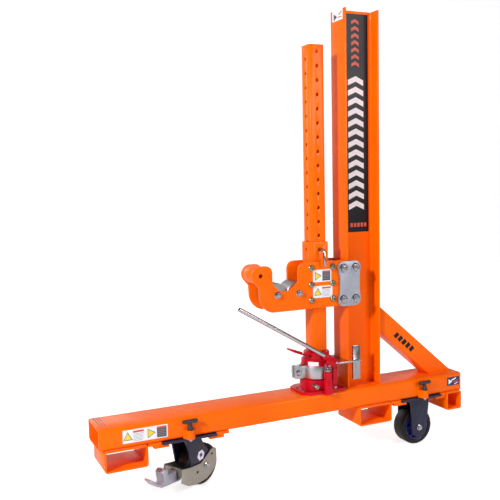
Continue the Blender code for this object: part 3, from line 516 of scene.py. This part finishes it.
def makeStudio():
    # a pale floor that curves up into a backdrop, four soft boxes and a pale sky
    studio = {"half": 9.0, "rise": 7.0, "front": -7.0, "back": 6.0, "sky": 0.14, "glow": 0.7, "bounce": 0.18,
              "paper": 1.0, "curve": 2.0, "curveSegments": 12, "paperColour": (0.86, 0.86, 0.87, 1),
              "paperRough": 0.8, "paperGloss": 0.2, "skyColour": (1.0, 0.99, 0.985, 1)}
    deselect()
    bpy.ops.mesh.primitive_plane_add(size=1)
    floor = bpy.context.object
    floor.scale = (studio["half"] * 2, studio["back"] - studio["front"], 1)
    floor.location = (0, (studio["back"] + studio["front"]) / 2, 0)
    settle(floor)
    edit(floor, "EDGE")
    mesh = bmesh.from_edit_mesh(floor.data)
    for line in mesh.edges:
        line.select_set(all(v.co.y > studio["back"] - 0.1 for v in line.verts))
    bmesh.update_edit_mesh(floor.data)
    bpy.ops.mesh.extrude_edges_move(TRANSFORM_OT_translate={"value": (0, 0, studio["rise"])})
    leave()
    softenEdges(floor, studio["curve"], studio["curveSegments"])
    shade(floor, 60)
    floor.name = "studio_floor"
    paint = bpy.data.materials.new("studioPaper")
    paint.use_nodes = True
    shader = paint.node_tree.nodes["Principled BSDF"]
    shader.inputs["Base Color"].default_value = studio["paperColour"]
    shader.inputs["Roughness"].default_value = studio["paperRough"]
    shader.inputs["Specular IOR Level"].default_value = studio["paperGloss"]
    shader.inputs["Emission Color"].default_value = (1, 1, 1, 1)
    tree = paint.node_tree  # the paper stays bright in view, but throws less light back up
    path = addNode(tree, "ShaderNodeLightPath")
    glow = addNode(tree, "ShaderNodeMapRange", Value=path.outputs["Is Camera Ray"], To_Min=studio["bounce"],
                   To_Max=studio["glow"])
    tree.links.new(glow.outputs[0], shader.inputs["Emission Strength"])
    floor.data.materials.append(paint)

    world = bpy.data.worlds.new("studioSky")
    world.use_nodes = True
    background = world.node_tree.nodes["Background"]
    background.inputs["Color"].default_value = studio["skyColour"]
    sky = world.node_tree  # seen as pale paper, but lighting the stand only softly
    path = addNode(sky, "ShaderNodeLightPath")
    strength = addNode(sky, "ShaderNodeMapRange", Value=path.outputs["Is Camera Ray"], To_Min=studio["sky"],
                       To_Max=studio["paper"])
    sky.links.new(strength.outputs[0], background.inputs["Strength"])
    bpy.context.scene.world = world
    lamps = {  # place, aim, width, height, power
        "keyBox": ((-4.3, -1.9, 3.0), (0.1, 0, 0.9), 0.5, 0.5, 230),
        "frontBox": ((2.4, -4.2, 2.4), (0.2, 0, 0.7), 2.0, 2.0, 105),
        "topBox": ((-0.4, 0.8, 4.2), (0, 0, 0.5), 2.6, 1.6, 18),
        "backBox": ((-0.8, 4.6, 2.0), (-0.2, 0, 0.4), 1.8, 1.6, 14),
    }
    for name, (place, aim, width, height, power) in lamps.items():
        bpy.ops.object.light_add(type="AREA", location=place)
        lamp = bpy.context.object
        lamp.name = name
        lamp.data.shape = "RECTANGLE"
        lamp.data.size, lamp.data.size_y, lamp.data.energy = width, height, power
        lamp.rotation_euler = (Vector(aim) - Vector(place)).to_track_quat("-Z", "Y").to_euler()
    bpy.context.scene.view_settings.view_transform = "Standard"


makeCamera()
makeStudio()
print("camera and studio ready")


# welded frame

frameFinish = {  # piece: rounding of outer edges, rounding of inner corners, segments
    "base_beam": (0.0012, 0, 2), "front_foot": (0.0012, 0, 2), "middle_foot": (0.0012, 0, 2),
    "rear_foot": (0.0012, 0, 2), "mast_column": (0.0009, 0.008, 4), "rear_brace": (0.003, 0.0005, 3),
    "caster_rail_1": (0.0009, 0, 2), "caster_rail_2": (0.0009, 0, 2), "caster_rail_3": (0.0009, 0, 2),
    "caster_rail_4": (0.0009, 0, 2), "front_lock_boss": (0.0008, 0, 2), "rear_lock_boss": (0.0008, 0, 2),
    "near_toe_plate": (0.0011, 0, 3), "far_toe_plate": (0.0011, 0, 3), "carriage_sleeve": (0.0009, 0, 2),
    "horn_tube": (0.001, 0, 2), "lift_tube": (0.0008, 0, 2),
}
welds = {"top": 11.5, "under": 8.49, "front": 39.15, "rear": 45.18, "half": 2.0, "gap": 0.02, "web": 0.15,
         "webInset": 0.5, "flange": (0.4, 1.95), "flangeBack": 0.32, "brace": (55.15, 59.6),
         "braceSide": 1.53, "braceGap": 0.03, "braceRise": (20.0, 23.8), "footSide": 2.9, "footSize": 0.003}
footWelds = {"front": (0.9, 6.4), "middle": (40.75, 46.25), "rear": (57.6, 60.2)}


def makeFrame():
    for node, (edge, fillet, segments) in frameFinish.items():
        dressNode(node, "orangePowderCoat", edge, fillet, segments)


def makeWelds():
    top, under, gap = welds["top"], welds["under"], welds["gap"]
    front, rear, half = welds["front"], welds["rear"], welds["half"]
    inset, back, (inner, outer) = welds["webInset"], welds["flangeBack"], welds["flange"]
    braceX, braceZ = rear + welds["braceGap"], welds["braceRise"]
    weldBead("mast_weld_front", spot(front - gap, -half, top), spot(front - gap, half, top), "stand_frame")
    weldBead("mast_weld_rear_near", spot(rear + gap, -half, top), spot(rear + gap, half, top), "stand_frame")
    for side, name in ((-1, "near"), (1, "far")):
        web, brace, foot = side * welds["web"], side * welds["braceSide"], side * welds["footSide"]
        weldBead(f"mast_weld_web_{name}", spot(front + inset, web, top), spot(rear - inset, web, top),
                 "stand_frame")
        weldBead(f"mast_weld_flange_{name}", spot(front + back, side * inner, top),
                 spot(front + back, side * outer, top), "stand_frame")
        weldBead(f"brace_weld_{name}", spot(welds["brace"][0], brace, top),
                 spot(welds["brace"][1], brace, top), "stand_frame")
        weldBead(f"brace_mast_weld_{name}", spot(braceX, brace, braceZ[0]), spot(braceX, brace, braceZ[1]),
                 "stand_frame")
        for place, (start, end) in footWelds.items():
            weldBead(f"{place}_foot_weld_{name}", spot(start, foot, under), spot(end, foot, under),
                     "stand_frame", welds["footSize"])


makeFrame()
makeWelds()
print("frame ready")


# fasteners

def hexNut(width, height, chamfer=0.12):
    # profile of a six-sided head, its corners turned off at the top
    radius = width / 2
    return [(radius, 0), (radius, height * (1 - chamfer)), (radius * 0.9, height)]


def flangeNut(place, axis, width, height, material):
    # a hexagon on a round flange, with the bolt's end showing in it; place is on the surface it clamps
    axis = Vector(axis)
    flange = lathe(scaled([(width * 0.62, 0), (width * 0.62, height * 0.12), (width * 0.5, height * 0.3)]),
                   place, axis, 32)
    hexagon = lathe(scaled([(r, h + height * 0.25) for r, h in hexNut(width, height * 0.75)]), place, axis,
                    6, cut=(0.0005, 2, 25))
    end = lathe(scaled([(width * 0.27, height * 0.8), (width * 0.27, height * 1.05),
                        (width * 0.23, height * 1.12)]), place, axis, 20)
    piece = joinPieces([flange, hexagon, end])
    piece.data.materials.clear()
    piece.data.materials.append(materials[material])
    return shade(piece, 30)


def buttonBolt(place, axis, width, height):
    # a domed head with a round socket
    dome = [(width / 2, 0), (width / 2, height * 0.2)]
    dome += [(width / 2 * cos(radians(a)) * 0.98, height * (0.2 + 0.8 * sin(radians(a))))
             for a in (20, 40, 58)]
    socket = [(width * 0.17, height), (width * 0.15, height * 0.45)]
    return shade(lathe(scaled(dome + socket), place, axis, 28), 40)


# carriage

def rollerBody(node, joint, edge, material):
    # a turned roller with chamfered ends and a shallow groove near each
    low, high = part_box(node)
    radius, half = (high.z - low.z) / 2, (high.y - low.y) / 2
    bore = 0.3 * inch if radius < 0.03 else 0.38 * inch
    groove = half - 5 * edge
    profile = [(bore, half), (radius * 0.55, half), (radius * 0.57, half - edge),
               (radius * 0.82, half - edge), (radius * 0.84, half), (radius - edge, half),
               (radius, half - edge), (radius, groove + edge / 2), (radius - edge / 3, groove),
               (radius, groove - edge / 2)]
    profile += [(r, -h) for r, h in reversed(profile)]
    place = (low + high) / 2
    piece = lathe(profile, place, jointOf[joint]["axis"], 56, ring=True)
    shade(piece, 32)
    deliver(piece, node + "_body", material, bodyOf[node], [node])


def makeRollers():
    for end in ("front", "rear"):
        rollerBody(f"{end}_spindle_roller", f"{end}_spindle_spin", rollerEdge["spindle"], "turnedSteel")
    for level in ("lower", "upper"):
        rollerBody(f"{level}_front_roller", f"guide_front_{level}_spin", rollerEdge["guide"],
                   "galvanisedPlate")
        for side in ("near", "far"):
            rollerBody(f"{side}_{level}_rear_roller", f"guide_{side}_{level}_spin", rollerEdge["guide"],
                       "galvanisedPlate")


spindleBolt = {"reach": 2.0, "width": 0.86, "height": 0.4, "shank": 0.34}
guideBolt = {"reach": 2.42, "width": 1.12, "height": 0.56, "shank": 0.28}
rollerEdge = {"spindle": 0.0016, "guide": 0.0012}


def throughBolt(node, joint, reach, width, height, shank):
    # a bolt across the carriage with a flange nut at each end, standing for the CAD bolt
    middle = Vector(jointOf[joint]["pos_m"])
    reach = reach * inch
    rod = lathe([(shank * inch, -reach - 0.002), (shank * inch, reach + 0.002)], middle, (0, 1, 0), 24)
    rod.data.materials.append(materials["brightZinc"])
    nuts = [flangeNut(middle + Vector((0, side * reach, 0)), (0, side, 0), width, height, "brightZinc")
            for side in (-1, 1)]
    piece = joinPieces([rod, *nuts])
    deliver(piece, node + "_body", None, bodyOf[node], [node])


def makeCarriageBolts():
    for end in ("front", "rear"):
        throughBolt(f"{end}_spindle_bolt", f"{end}_spindle_spin", **spindleBolt)
    for level in ("lower", "upper"):
        throughBolt(f"{level}_guide_bolt", f"guide_front_{level}_spin", **guideBolt)
        for side, name in ((-1, "near"), (1, "far")):
            middle = Vector(jointOf[f"guide_{name}_{level}_spin"]["pos_m"])
            place = Vector((middle.x, spot(0, side * guideBolt["reach"], 0).y, middle.z))
            nut = flangeNut(place, (0, side, 0), guideBolt["width"], guideBolt["height"], "brightZinc")
            deliver(nut, f"{name}_{level}_guide_nut", None, "carriage")
    clampBolt = {"columns": (32.93, 36.63), "rows": (25.79, 28.12, 30.6), "head": 0.98, "height": 0.32,
                 "shank": 0.3, "face": 2.0}
    for column, x in enumerate(clampBolt["columns"]):
        for row, z in enumerate(clampBolt["rows"]):
            heads = [buttonBolt(spot(x, side * clampBolt["face"], z), (0, side, 0), clampBolt["head"],
                                clampBolt["height"]) for side in (-1, 1)]
            reach = clampBolt["face"] * inch
            rod = lathe([(clampBolt["shank"] * inch, -reach), (clampBolt["shank"] * inch, reach)],
                        spot(x, 0, z), (0, 1, 0), 20)
            bolt = joinPieces([rod, *heads])
            deliver(bolt, f"plate_bolt_{column + 1}{row + 1}", "oliveZinc", "carriage")


def makeGuides():
    for side in ("near", "far"):
        dressNode(f"{side}_guide_plate", "galvanisedPlate", 0.0014, 0, 3)
    dressNode("lock_pin", "brightZinc", 0.0008, smooth=60)


makeRollers()
makeCarriageBolts()
makeGuides()
print("carriage ready")


# bottle jack

jack = {"x": 34.75, "tank": 2.35, "tankFoot": 13.515, "shoulder": 16.4, "cap": 2.0, "capTop": 17.6,
        "bore": 0.93, "pumpX": 34.9, "pumpY": -3.18, "barrel": 0.62, "barrelFoot": 13.515, "barrelTop": 15.3}


def makeTank():
    r, cap = jack["tank"], jack["cap"]
    foot, shoulder, top = jack["tankFoot"], jack["shoulder"], jack["capTop"]
    neck, bore = 1.42, jack["bore"]
    profile = [(bore, top + 0.14), (neck - 0.08, top + 0.14), (neck, top + 0.06), (neck, top),
               (cap - 0.12, top), (cap, top - 0.12), (cap, top - 0.38), (cap - 0.05, top - 0.42),
               (cap - 0.05, top - 0.5), (cap, top - 0.54), (cap, shoulder + 0.3),
               (cap + 0.1, shoulder + 0.18), (r - 0.06, shoulder + 0.05), (r, shoulder - 0.1),
               (r, foot + 0.2), (r - 0.06, foot + 0.08), (r - 0.06, foot), (bore, foot)]
    piece = lathe(scaled(profile), spot(jack["x"], 0, 0), segments=72, ring=True)
    shade(piece, 28)
    deliver(piece, "jack_tank_body", "redEnamel", "stand_frame", ["jack_tank"])
    plug = lathe(scaled([(0.2, 0), (0.2, 0.08), (0.15, 0.14)]), spot(jack["x"] - 2.31, -0.5, 15.95),
                 (-1, -0.2, 0), 24)
    shade(plug, 30)
    deliver(plug, "filler_plug", "knobPlastic", "stand_frame")


def makeRam():
    low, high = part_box("jack_ram")
    radius, piston = 0.9, 1.15
    bottom, top = low.z / inch, high.z / inch
    profile = [(piston, bottom), (piston, bottom + 0.3), (radius, bottom + 0.36), (radius, top - 0.08),
               (radius - 0.08, top)]
    piece = lathe(scaled(profile), spot(jack["x"], 0, 0), segments=48)
    shade(piece, 30)
    deliver(piece, "jack_ram_body", "handleChrome", "lift_column", ["jack_ram"])
    dressNode("thrust_plug", "brightZinc", 0.0008)


def makePump():
    r, foot, top = jack["barrel"], jack["barrelFoot"], jack["barrelTop"]
    bore, place = 0.31, spot(jack["pumpX"], jack["pumpY"], 0)
    profile = [(bore, foot), (r + 0.05, foot), (r + 0.05, foot + 0.1), (r, foot + 0.16), (r, top - 0.42),
               (r - 0.08, top - 0.34), (bore, top - 0.34)]
    barrel = lathe(scaled(profile), place, segments=40, ring=True)
    shade(barrel, 30)
    deliver(barrel, "pump_barrel_body", "redEnamel", "stand_frame", ["pump_barrel"])
    gland = lathe(scaled([(bore, top - 0.33), (r - 0.1, top - 0.33), (r - 0.1, top - 0.05), (r - 0.16, top),
                          (bore, top)]), place, segments=6, ring=True, cut=(0.0006, 2, 25))
    shade(gland, 30)
    deliver(gland, "pump_gland_nut", "brightZinc", "stand_frame")
    dressNode("pump_plunger", "brightZinc", 0.0006)
    dressNode("pump_link", "redEnamel", 0.0012)
    dressNode("pump_socket", "redEnamel", 0.001, 0.003, 3)
    rivet = [(0.2, 0), (0.2, 0.05), (0.14, 0.12), (0.06, 0.15)]
    rivets = {"link_foot": (35.96, -3.64, 12.54, "stand_frame"), "link_head": (36.1, -3.77, 16.3, "socket"),
              "plunger_pin": (34.82, -3.77, 15.96, "socket")}
    for name, (x, y, z, body) in rivets.items():
        piece = shade(lathe(scaled(rivet), spot(x, y, z), (0, -1, 0), 24), 40)
        deliver(piece, f"{name}_rivet", "brightZinc", body)


def makeHandle():
    # a steel tube, its mouth end inside the socket and its far end open
    bar = {"mouth": (34.87, -3.18, 17.15), "tip": (20.53, -3.18, 25.75), "inside": 0.5, "outer": 0.31,
           "bore": 0.24}
    mouth, tip = spot(*bar["mouth"]), spot(*bar["tip"])
    along = (tip - mouth).normalized()
    start, length = -bar["inside"] * inch, (tip - mouth).length
    outer, bore, lip = bar["outer"] * inch, bar["bore"] * inch, 0.0006
    grip = length - 4.2 * inch
    profile = [(bore, start), (outer, start), (outer, grip), (outer - lip, grip + lip),
               (outer - lip, grip + 3 * lip), (outer, grip + 4 * lip), (outer, length - lip),
               (outer - lip, length), (bore, length)]
    piece = shade(lathe(profile, mouth, along, 40, ring=True), 30)
    deliver(piece, "pump_handle_tube", "handleChrome", "handle", ["pump_handle"])


def makeClampAndValve():
    dressNode("clamp_band", "bandSteel", 0.0007)
    dressNode("mast_bracket", "brightZinc", 0.0009)
    dressNode("carry_handle", "redEnamel", 0.0006, smooth=60)
    dressNode("jack_base", "redEnamel", 0.0016, 0.005, 3)
    foot = {"places": ((31.6, -1.6), (31.5, 0.5)), "top": 11.95, "width": 0.42, "height": 0.22}
    for number, (x, y) in enumerate(foot["places"], 1):
        bolt = flangeNut(spot(x, y, foot["top"]), (0, 0, 1), foot["width"], foot["height"], "oliveZinc")
        deliver(bolt, f"foot_bolt_{number}", None, "stand_frame")
    ears = {"x": 31.25, "z": 14.65, "reach": 0.7, "width": 0.82, "height": 0.4, "shank": 0.24}
    place = spot(ears["x"], 0, ears["z"])
    rod = lathe(scaled([(ears["shank"], -ears["reach"]), (ears["shank"], ears["reach"])]), place, (0, 1, 0),
                20)
    rod.data.materials.append(materials["brightZinc"])
    nuts = [flangeNut(place + Vector((0, side * ears["reach"] * inch, 0)), (0, side, 0), ears["width"],
                      ears["height"], "brightZinc") for side in (-1, 1)]
    deliver(joinPieces([rod, *nuts]), "clamp_bolt", None, "stand_frame")
    low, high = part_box("release_valve")
    reach = (high.y - low.y) / inch
    middle = (low + high) / 2
    place = Vector((middle.x, high.y, middle.z))
    stem = [(0.24, 0), (0.24, reach - 0.42), (0.32, reach - 0.4), (0.32, reach - 0.06), (0.27, reach),
            (0.1, reach), (0.1, reach - 0.12)]
    valve = shade(lathe(scaled(stem), place, (0, -1, 0), 28), 30)
    deliver(valve, "release_valve_body", "oliveZinc", "valve", ["release_valve"])


makeTank()
makeRam()
makePump()
makeHandle()
makeClampAndValve()
print("jack ready")


# casters and locks

def wheelPieces(end, joint):
    # tyre with rounded shoulders on a ribbed hub, both about the wheel's own axis
    place, axis = Vector(jointOf[joint]["pos_m"]), Vector(jointOf[joint]["axis"])
    body = bodyOf[f"{end}_tyre"]
    tread, rim, half = 3.0, 2.14, 1.25
    side = [(rim, half - 0.16), (rim + 0.12, half - 0.06), (tread - 0.52, half), (tread - 0.4, half)]
    side += [(tread - 0.4 + 0.4 * sin(radians(a)), half - 0.4 + 0.4 * cos(radians(a)))
             for a in (22, 45, 68, 90)]
    profile = side + [(r, -h) for r, h in reversed(side)]
    tyre = shade(lathe(scaled(profile), place, axis, 96, ring=True), 40)
    deliver(tyre, f"{end}_tyre_body", "tyreRubber", body, [f"{end}_tyre"])
    bore, boss, web = 0.29, 0.75, 0.5
    half -= 0.12
    hubSide = [(bore, half + 0.2), (boss - 0.08, half + 0.2), (boss, half + 0.12), (boss + 0.06, web + 0.1),
               (boss + 0.2, web), (rim - 0.42, web), (rim - 0.26, web + 0.12), (rim - 0.2, half - 0.08),
               (rim - 0.14, half), (rim - 0.02, half)]
    profile = hubSide + [(r, -h) for r, h in reversed(hubSide)]
    hub = shade(lathe(scaled(profile), place, axis, 72, ring=True), 32)
    rib = block(Vector((boss, -0.07, -half + 0.12)) * inch, Vector((rim - 0.18, 0.07, half - 0.12)) * inch,
                0.0008)
    turnAxis = axis.to_track_quat("Z", "Y").to_matrix().to_4x4()
    ribs = [copyTo(rib, place, turnAxis @ Matrix.Rotation(radians(60 * i), 4, "Z")) for i in range(6)]
    bpy.data.objects.remove(rib)
    hub = joinPieces([hub, *ribs])
    deliver(hub, f"{end}_hub_body", "hubNylon", body, [f"{end}_hub"])


def axlePieces(end, joint, reach):
    place, axis = Vector(jointOf[joint]["pos_m"]), Vector(jointOf[joint]["axis"])
    rod = lathe(scaled([(0.25, -reach), (0.25, reach)]), place, axis, 24)
    rod.data.materials.append(materials["brightZinc"])
    nuts = [flangeNut(place + axis * side * reach * inch, axis * side, 0.8, 0.32, "brightZinc")
            for side in (-1, 1)]
    node = f"{end}_axle"
    deliver(joinPieces([rod, *nuts]), node + "_body", None, bodyOf[node], [node])


def makeCasters():
    for end, reach in (("front", 1.9), ("rear", 1.9)):
        wheelPieces(end, f"{end}_wheel_spin")
        axlePieces(end, f"{end}_wheel_spin", reach)
        dressNode(f"{end}_caster_plate", "forkEnamel", 0.0009)
        dressNode(f"{end}_caster_fork", "forkEnamel", 0.0018, 0.003, 3)
    dressNode("brake_frame", "brakeSteel", 0.0007, 0.002, 3)
    dressNode("brake_pedal", "galvanisedPlate", 0.0008)


def lockPieces(end):
    # T handle with a waisted stem, on a steel pin
    low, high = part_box(f"{end}_lock_plunger")
    middle, body = (low + high) / 2, bodyOf[f"{end}_lock_plunger"]
    knob = {"length": 2.2, "radius": 0.29, "barZ": 10.95, "foot": 9.735, "pin": 0.25, "tip": 8.12}
    x, y = middle.x, middle.y
    half, r = knob["length"] / 2, knob["radius"]
    ends = [(r * 0.62, -half), (r * 0.9, -half + 0.07), (r, -half + 0.2), (r * 0.93, -0.3)]
    bar = lathe(scaled(ends + [(a, -b) for a, b in reversed(ends)]), Vector((x, y, knob["barZ"] * inch)),
                (1, 0, 0), 32)
    stem = [(0.36, knob["foot"]), (0.42, knob["foot"] + 0.05), (0.42, knob["foot"] + 0.22),
            (0.31, knob["foot"] + 0.42), (0.25, knob["barZ"] - 0.32), (0.27, knob["barZ"])]
    neck = lathe(scaled(stem), Vector((x, y, 0)), segments=32)
    handle = softenEdges(joinPieces([bar, neck]), 0.0006, 2, 35)
    shade(handle, 45)
    deliver(handle, f"{end}_lock_knob", "knobPlastic", body, [f"{end}_lock_plunger"])
    pin = lathe(scaled([(knob["pin"] - 0.06, knob["tip"]), (knob["pin"], knob["tip"] + 0.08),
                        (knob["pin"], knob["foot"] + 0.02)]), Vector((x, y, 0)), segments=28)
    deliver(shade(pin, 35), f"{end}_lock_pin", "brightZinc", body)


makeCasters()
for lockEnd in ("front", "rear"):
    lockPieces(lockEnd)
print("casters ready")


# stickers: thin shapes laid on each other, with no lettering

facings = {  # the sticker's right, up and outward directions
    "near": ((1, 0, 0), (0, 0, 1), (0, -1, 0)),
    "front": ((0, -1, 0), (0, 0, 1), (-1, 0, 0)),
    "top": ((0, -1, 0), (1, 0, 0), (0, 0, 1)),
}
inkSteps = {"sheet": 0.0001, "first": 0.0003, "second": 0.00045}
inkThickness = 0.0002


def inkShape(kind, centre, size, layer, material, turn=0):
    # one flat shape in the sticker's own plane; centre and size in inches
    deselect()
    if kind in ("triangle", "hexagon", "disc"):
        sides = {"triangle": 3, "hexagon": 6, "disc": 28}[kind]
        bpy.ops.mesh.primitive_circle_add(vertices=sides, radius=1, fill_type="NGON")
    else:
        bpy.ops.mesh.primitive_plane_add(size=1)
    piece = bpy.context.object
    if kind == "chevron":
        edit(piece, "VERT")
        bpy.ops.mesh.select_all(action="SELECT")
        bpy.ops.mesh.subdivide(number_cuts=1)
        mesh = bmesh.from_edit_mesh(piece.data)
        for corner in mesh.verts:
            corner.select_set(abs(corner.co.x) < 0.1)
        bmesh.update_edit_mesh(piece.data)
        bpy.ops.transform.translate(value=(0, 0.75, 0))
        leave()
    piece.scale = (size[0] * inch, size[1] * inch, 1)
    settle(piece)
    if kind == "sheet":
        edit(piece, "VERT")
        bpy.ops.mesh.select_all(action="SELECT")
        bpy.ops.mesh.bevel(offset=0.0025, segments=5, affect="VERTICES")
        leave()
    piece.rotation_euler = (0, 0, radians(turn))
    piece.location = (centre[0] * inch, centre[1] * inch, inkSteps[layer])
    settle(piece)
    modify(piece, "SOLIDIFY", thickness=inkThickness, offset=1)
    piece.data.materials.append(materials[material])
    return piece


def sticker(name, shapes, place, facing, body, turn=0):
    pieces = [inkShape(*shape) for shape in shapes]
    piece = joinPieces(pieces)
    right, up, out = (Vector(v) for v in facings[facing])
    basis = Matrix((right, up, out)).transposed().to_4x4()
    piece.data.transform(Matrix.Translation(place) @ basis @ Matrix.Rotation(radians(turn), 4, "Z"))
    return deliver(piece, name, None, body)


def uprightLayout(dx):
    # a triangle beside a heading bar and lines
    shapes = [("triangle", (dx - 0.86, -0.14), (0.76, 0.76), "first", "slateInk"),
              ("triangle", (dx - 0.86, -0.14), (0.6, 0.6), "second", "yellowVinyl"),
              ("plane", (dx + 0.62, 0.56), (1.5, 0.26), "first", "redInk")]
    return shapes + [("plane", (dx + 0.62 - 0.1 * (row % 2), 0.26 - row * 0.19),
                      (1.5 - 0.2 * (row % 2), 0.06), "first", "greyInk") for row in range(6)]


def sidewaysLayout(dx):
    # a turned triangle beside a dark block
    shapes = [("triangle", (dx - 0.88, 0), (0.76, 0.76), "first", "slateInk", -90),
              ("triangle", (dx - 0.88, 0), (0.6, 0.6), "second", "yellowVinyl", -90),
              ("plane", (dx + 0.72, -0.02), (1.36, 1.5), "first", "slateInk"),
              ("plane", (dx + 0.72, 0.58), (1.24, 0.22), "second", "redInk")]
    return shapes + [("plane", (dx + 0.72, 0.24 - row * 0.24), (1.1, 0.05), "second", "greyInk")
                     for row in range(4)]


def makeStickers():
    sheet = "whiteVinyl"
    sticker("beam_sticker", [("sheet", (0, 0), (6.3, 1.8), "sheet", sheet), *uprightLayout(-1.58),
                             *sidewaysLayout(1.58)], spot(6.36, -3.0, 10.03), "near", "stand_frame")
    sticker("toe_sticker_upper", [("sheet", (0, 0), (3.15, 1.84), "sheet", sheet), *sidewaysLayout(0)],
            spot(34.78, -2.0, 29.38), "near", "carriage")
    sticker("toe_sticker_lower", [("sheet", (0, 0), (3.35, 1.78), "sheet", sheet), *uprightLayout(0)],
            spot(34.86, -2.0, 26.97), "near", "carriage")
    panel = {"x": 42.42, "middle": 52.05, "width": 3.95, "height": 33.1, "web": -0.118}
    shapes = [("sheet", (0, 0), (panel["width"], panel["height"]), "sheet", "blackVinyl")]
    shapes += [("chevron", (-0.25, -12.7 + 1.58 * i), (2.75, 0.82), "first", sheet) for i in range(13)]
    shapes += [("chevron", (-0.3, 8.9 + 1.05 * i), (1.35, 0.5), "first", "redInk") for i in range(7)]
    shapes += [("plane", (-1.15 + 0.62 * i, -15.45), (0.42, 0.62), "first", "redInk") for i in range(5)]
    sticker("mast_panel", shapes, spot(panel["x"], panel["web"], panel["middle"]), "near", "stand_frame")
    sticker("mast_top_sticker", [("sheet", (0, 0), (2.9, 1.6), "sheet", sheet),
                                 ("triangle", (-0.75, -0.2), (0.62, 0.62), "first", "slateInk", 30),
                                 ("plane", (0.75, 0.2), (0.9, 0.3), "first", "greyInk", 25),
                                 ("plane", (0.6, -0.35), (1.1, 0.16), "first", "redInk")],
            spot(39.15, 0, 68.2), "front", "stand_frame")
    sticker("rear_sticker", [("sheet", (0, 0), (2.5, 1.4), "sheet", "navyVinyl"),
                             ("triangle", (-0.7, -0.05), (0.5, 0.5), "first", sheet, -90),
                             ("plane", (0.1, 0.3), (1.0, 0.22), "first", sheet, 18),
                             ("plane", (0.5, -0.05), (0.9, 0.16), "first", "redInk", 18),
                             ("plane", (0.6, -0.4), (0.8, 0.14), "first", sheet, 18)],
            spot(58.85, -3.0, 10.22), "near", "stand_frame")
    sticker("beam_end_marks", [("plane", (0, 0.35 * row), (4.2, 0.08), "first", "slateInk")
                               for row in range(-1, 2)], spot(0.95, 0.6, 11.5), "top", "stand_frame")
    sticker("brace_marks", [("plane", (-1.92 + 0.96 * i, 0), (0.66, 0.92), "first", "blackVinyl", -15)
                            for i in range(5)], spot(50.1, -1.5, 17.45), "near", "stand_frame", -40.4)
    shieldAt = {"along": 1.8, "out": -1.72, "up": 4.75, "forkTurn": 25, "tip": -20}
    kingpin, turned = Vector(jointOf["front_swivel_turn"]["pos_m"]), radians(shieldAt["forkTurn"])
    shield = inkShape("hexagon", (0, 0), (0.72, 0.8), "first", sheet)
    dot = inkShape("plane", (0, 0.05), (0.5, 0.5), "second", "blueInk", 45)
    shield = joinPieces([shield, dot])
    right, up, out = (Vector(v) for v in facings["near"])
    basis = Matrix((right, up, out)).transposed().to_4x4()
    lift = Matrix.Translation((shieldAt["along"] * inch, shieldAt["out"] * inch, shieldAt["up"] * inch))
    home = Matrix.Translation((kingpin.x, kingpin.y, 0)) @ Matrix.Rotation(turned, 4, "Z")
    shield.data.transform(home @ lift @ basis @ Matrix.Rotation(radians(shieldAt["tip"]), 4, "Z"))
    deliver(shield, "fork_sticker", None, "front_swivel")


def makeTankSticker():
    # a white band of sticker wrapped on the tank above the clamp
    band = {"width": 1.9, "height": 0.62, "z": 15.98, "round": 42, "start": 2.6, "lift": 0.0001,
            "thickness": 0.0003}
    deselect()
    bpy.ops.mesh.primitive_grid_add(x_subdivisions=16, y_subdivisions=2, size=1)
    piece = bpy.context.object
    piece.scale = (band["width"] * inch, band["height"] * inch, 1)
    piece.rotation_euler = (radians(90), 0, radians(-band["round"]))
    middle, turned = spot(jack["x"], 0, band["z"]), radians(band["round"])
    piece.location = middle + Vector((-sin(turned), -cos(turned), 0)) * band["start"] * inch
    settle(piece)
    tank = bpy.data.objects["jack_tank_body"]
    modify(piece, "SHRINKWRAP", target=tank, wrap_method="NEAREST_SURFACEPOINT", wrap_mode="ABOVE_SURFACE",
           offset=band["lift"])
    modify(piece, "SOLIDIFY", thickness=band["thickness"], offset=1)
    deliver(shade(piece, 50), "tank_sticker", "whiteVinyl", "stand_frame")


makeStickers()
makeTankSticker()
print("stickers ready")
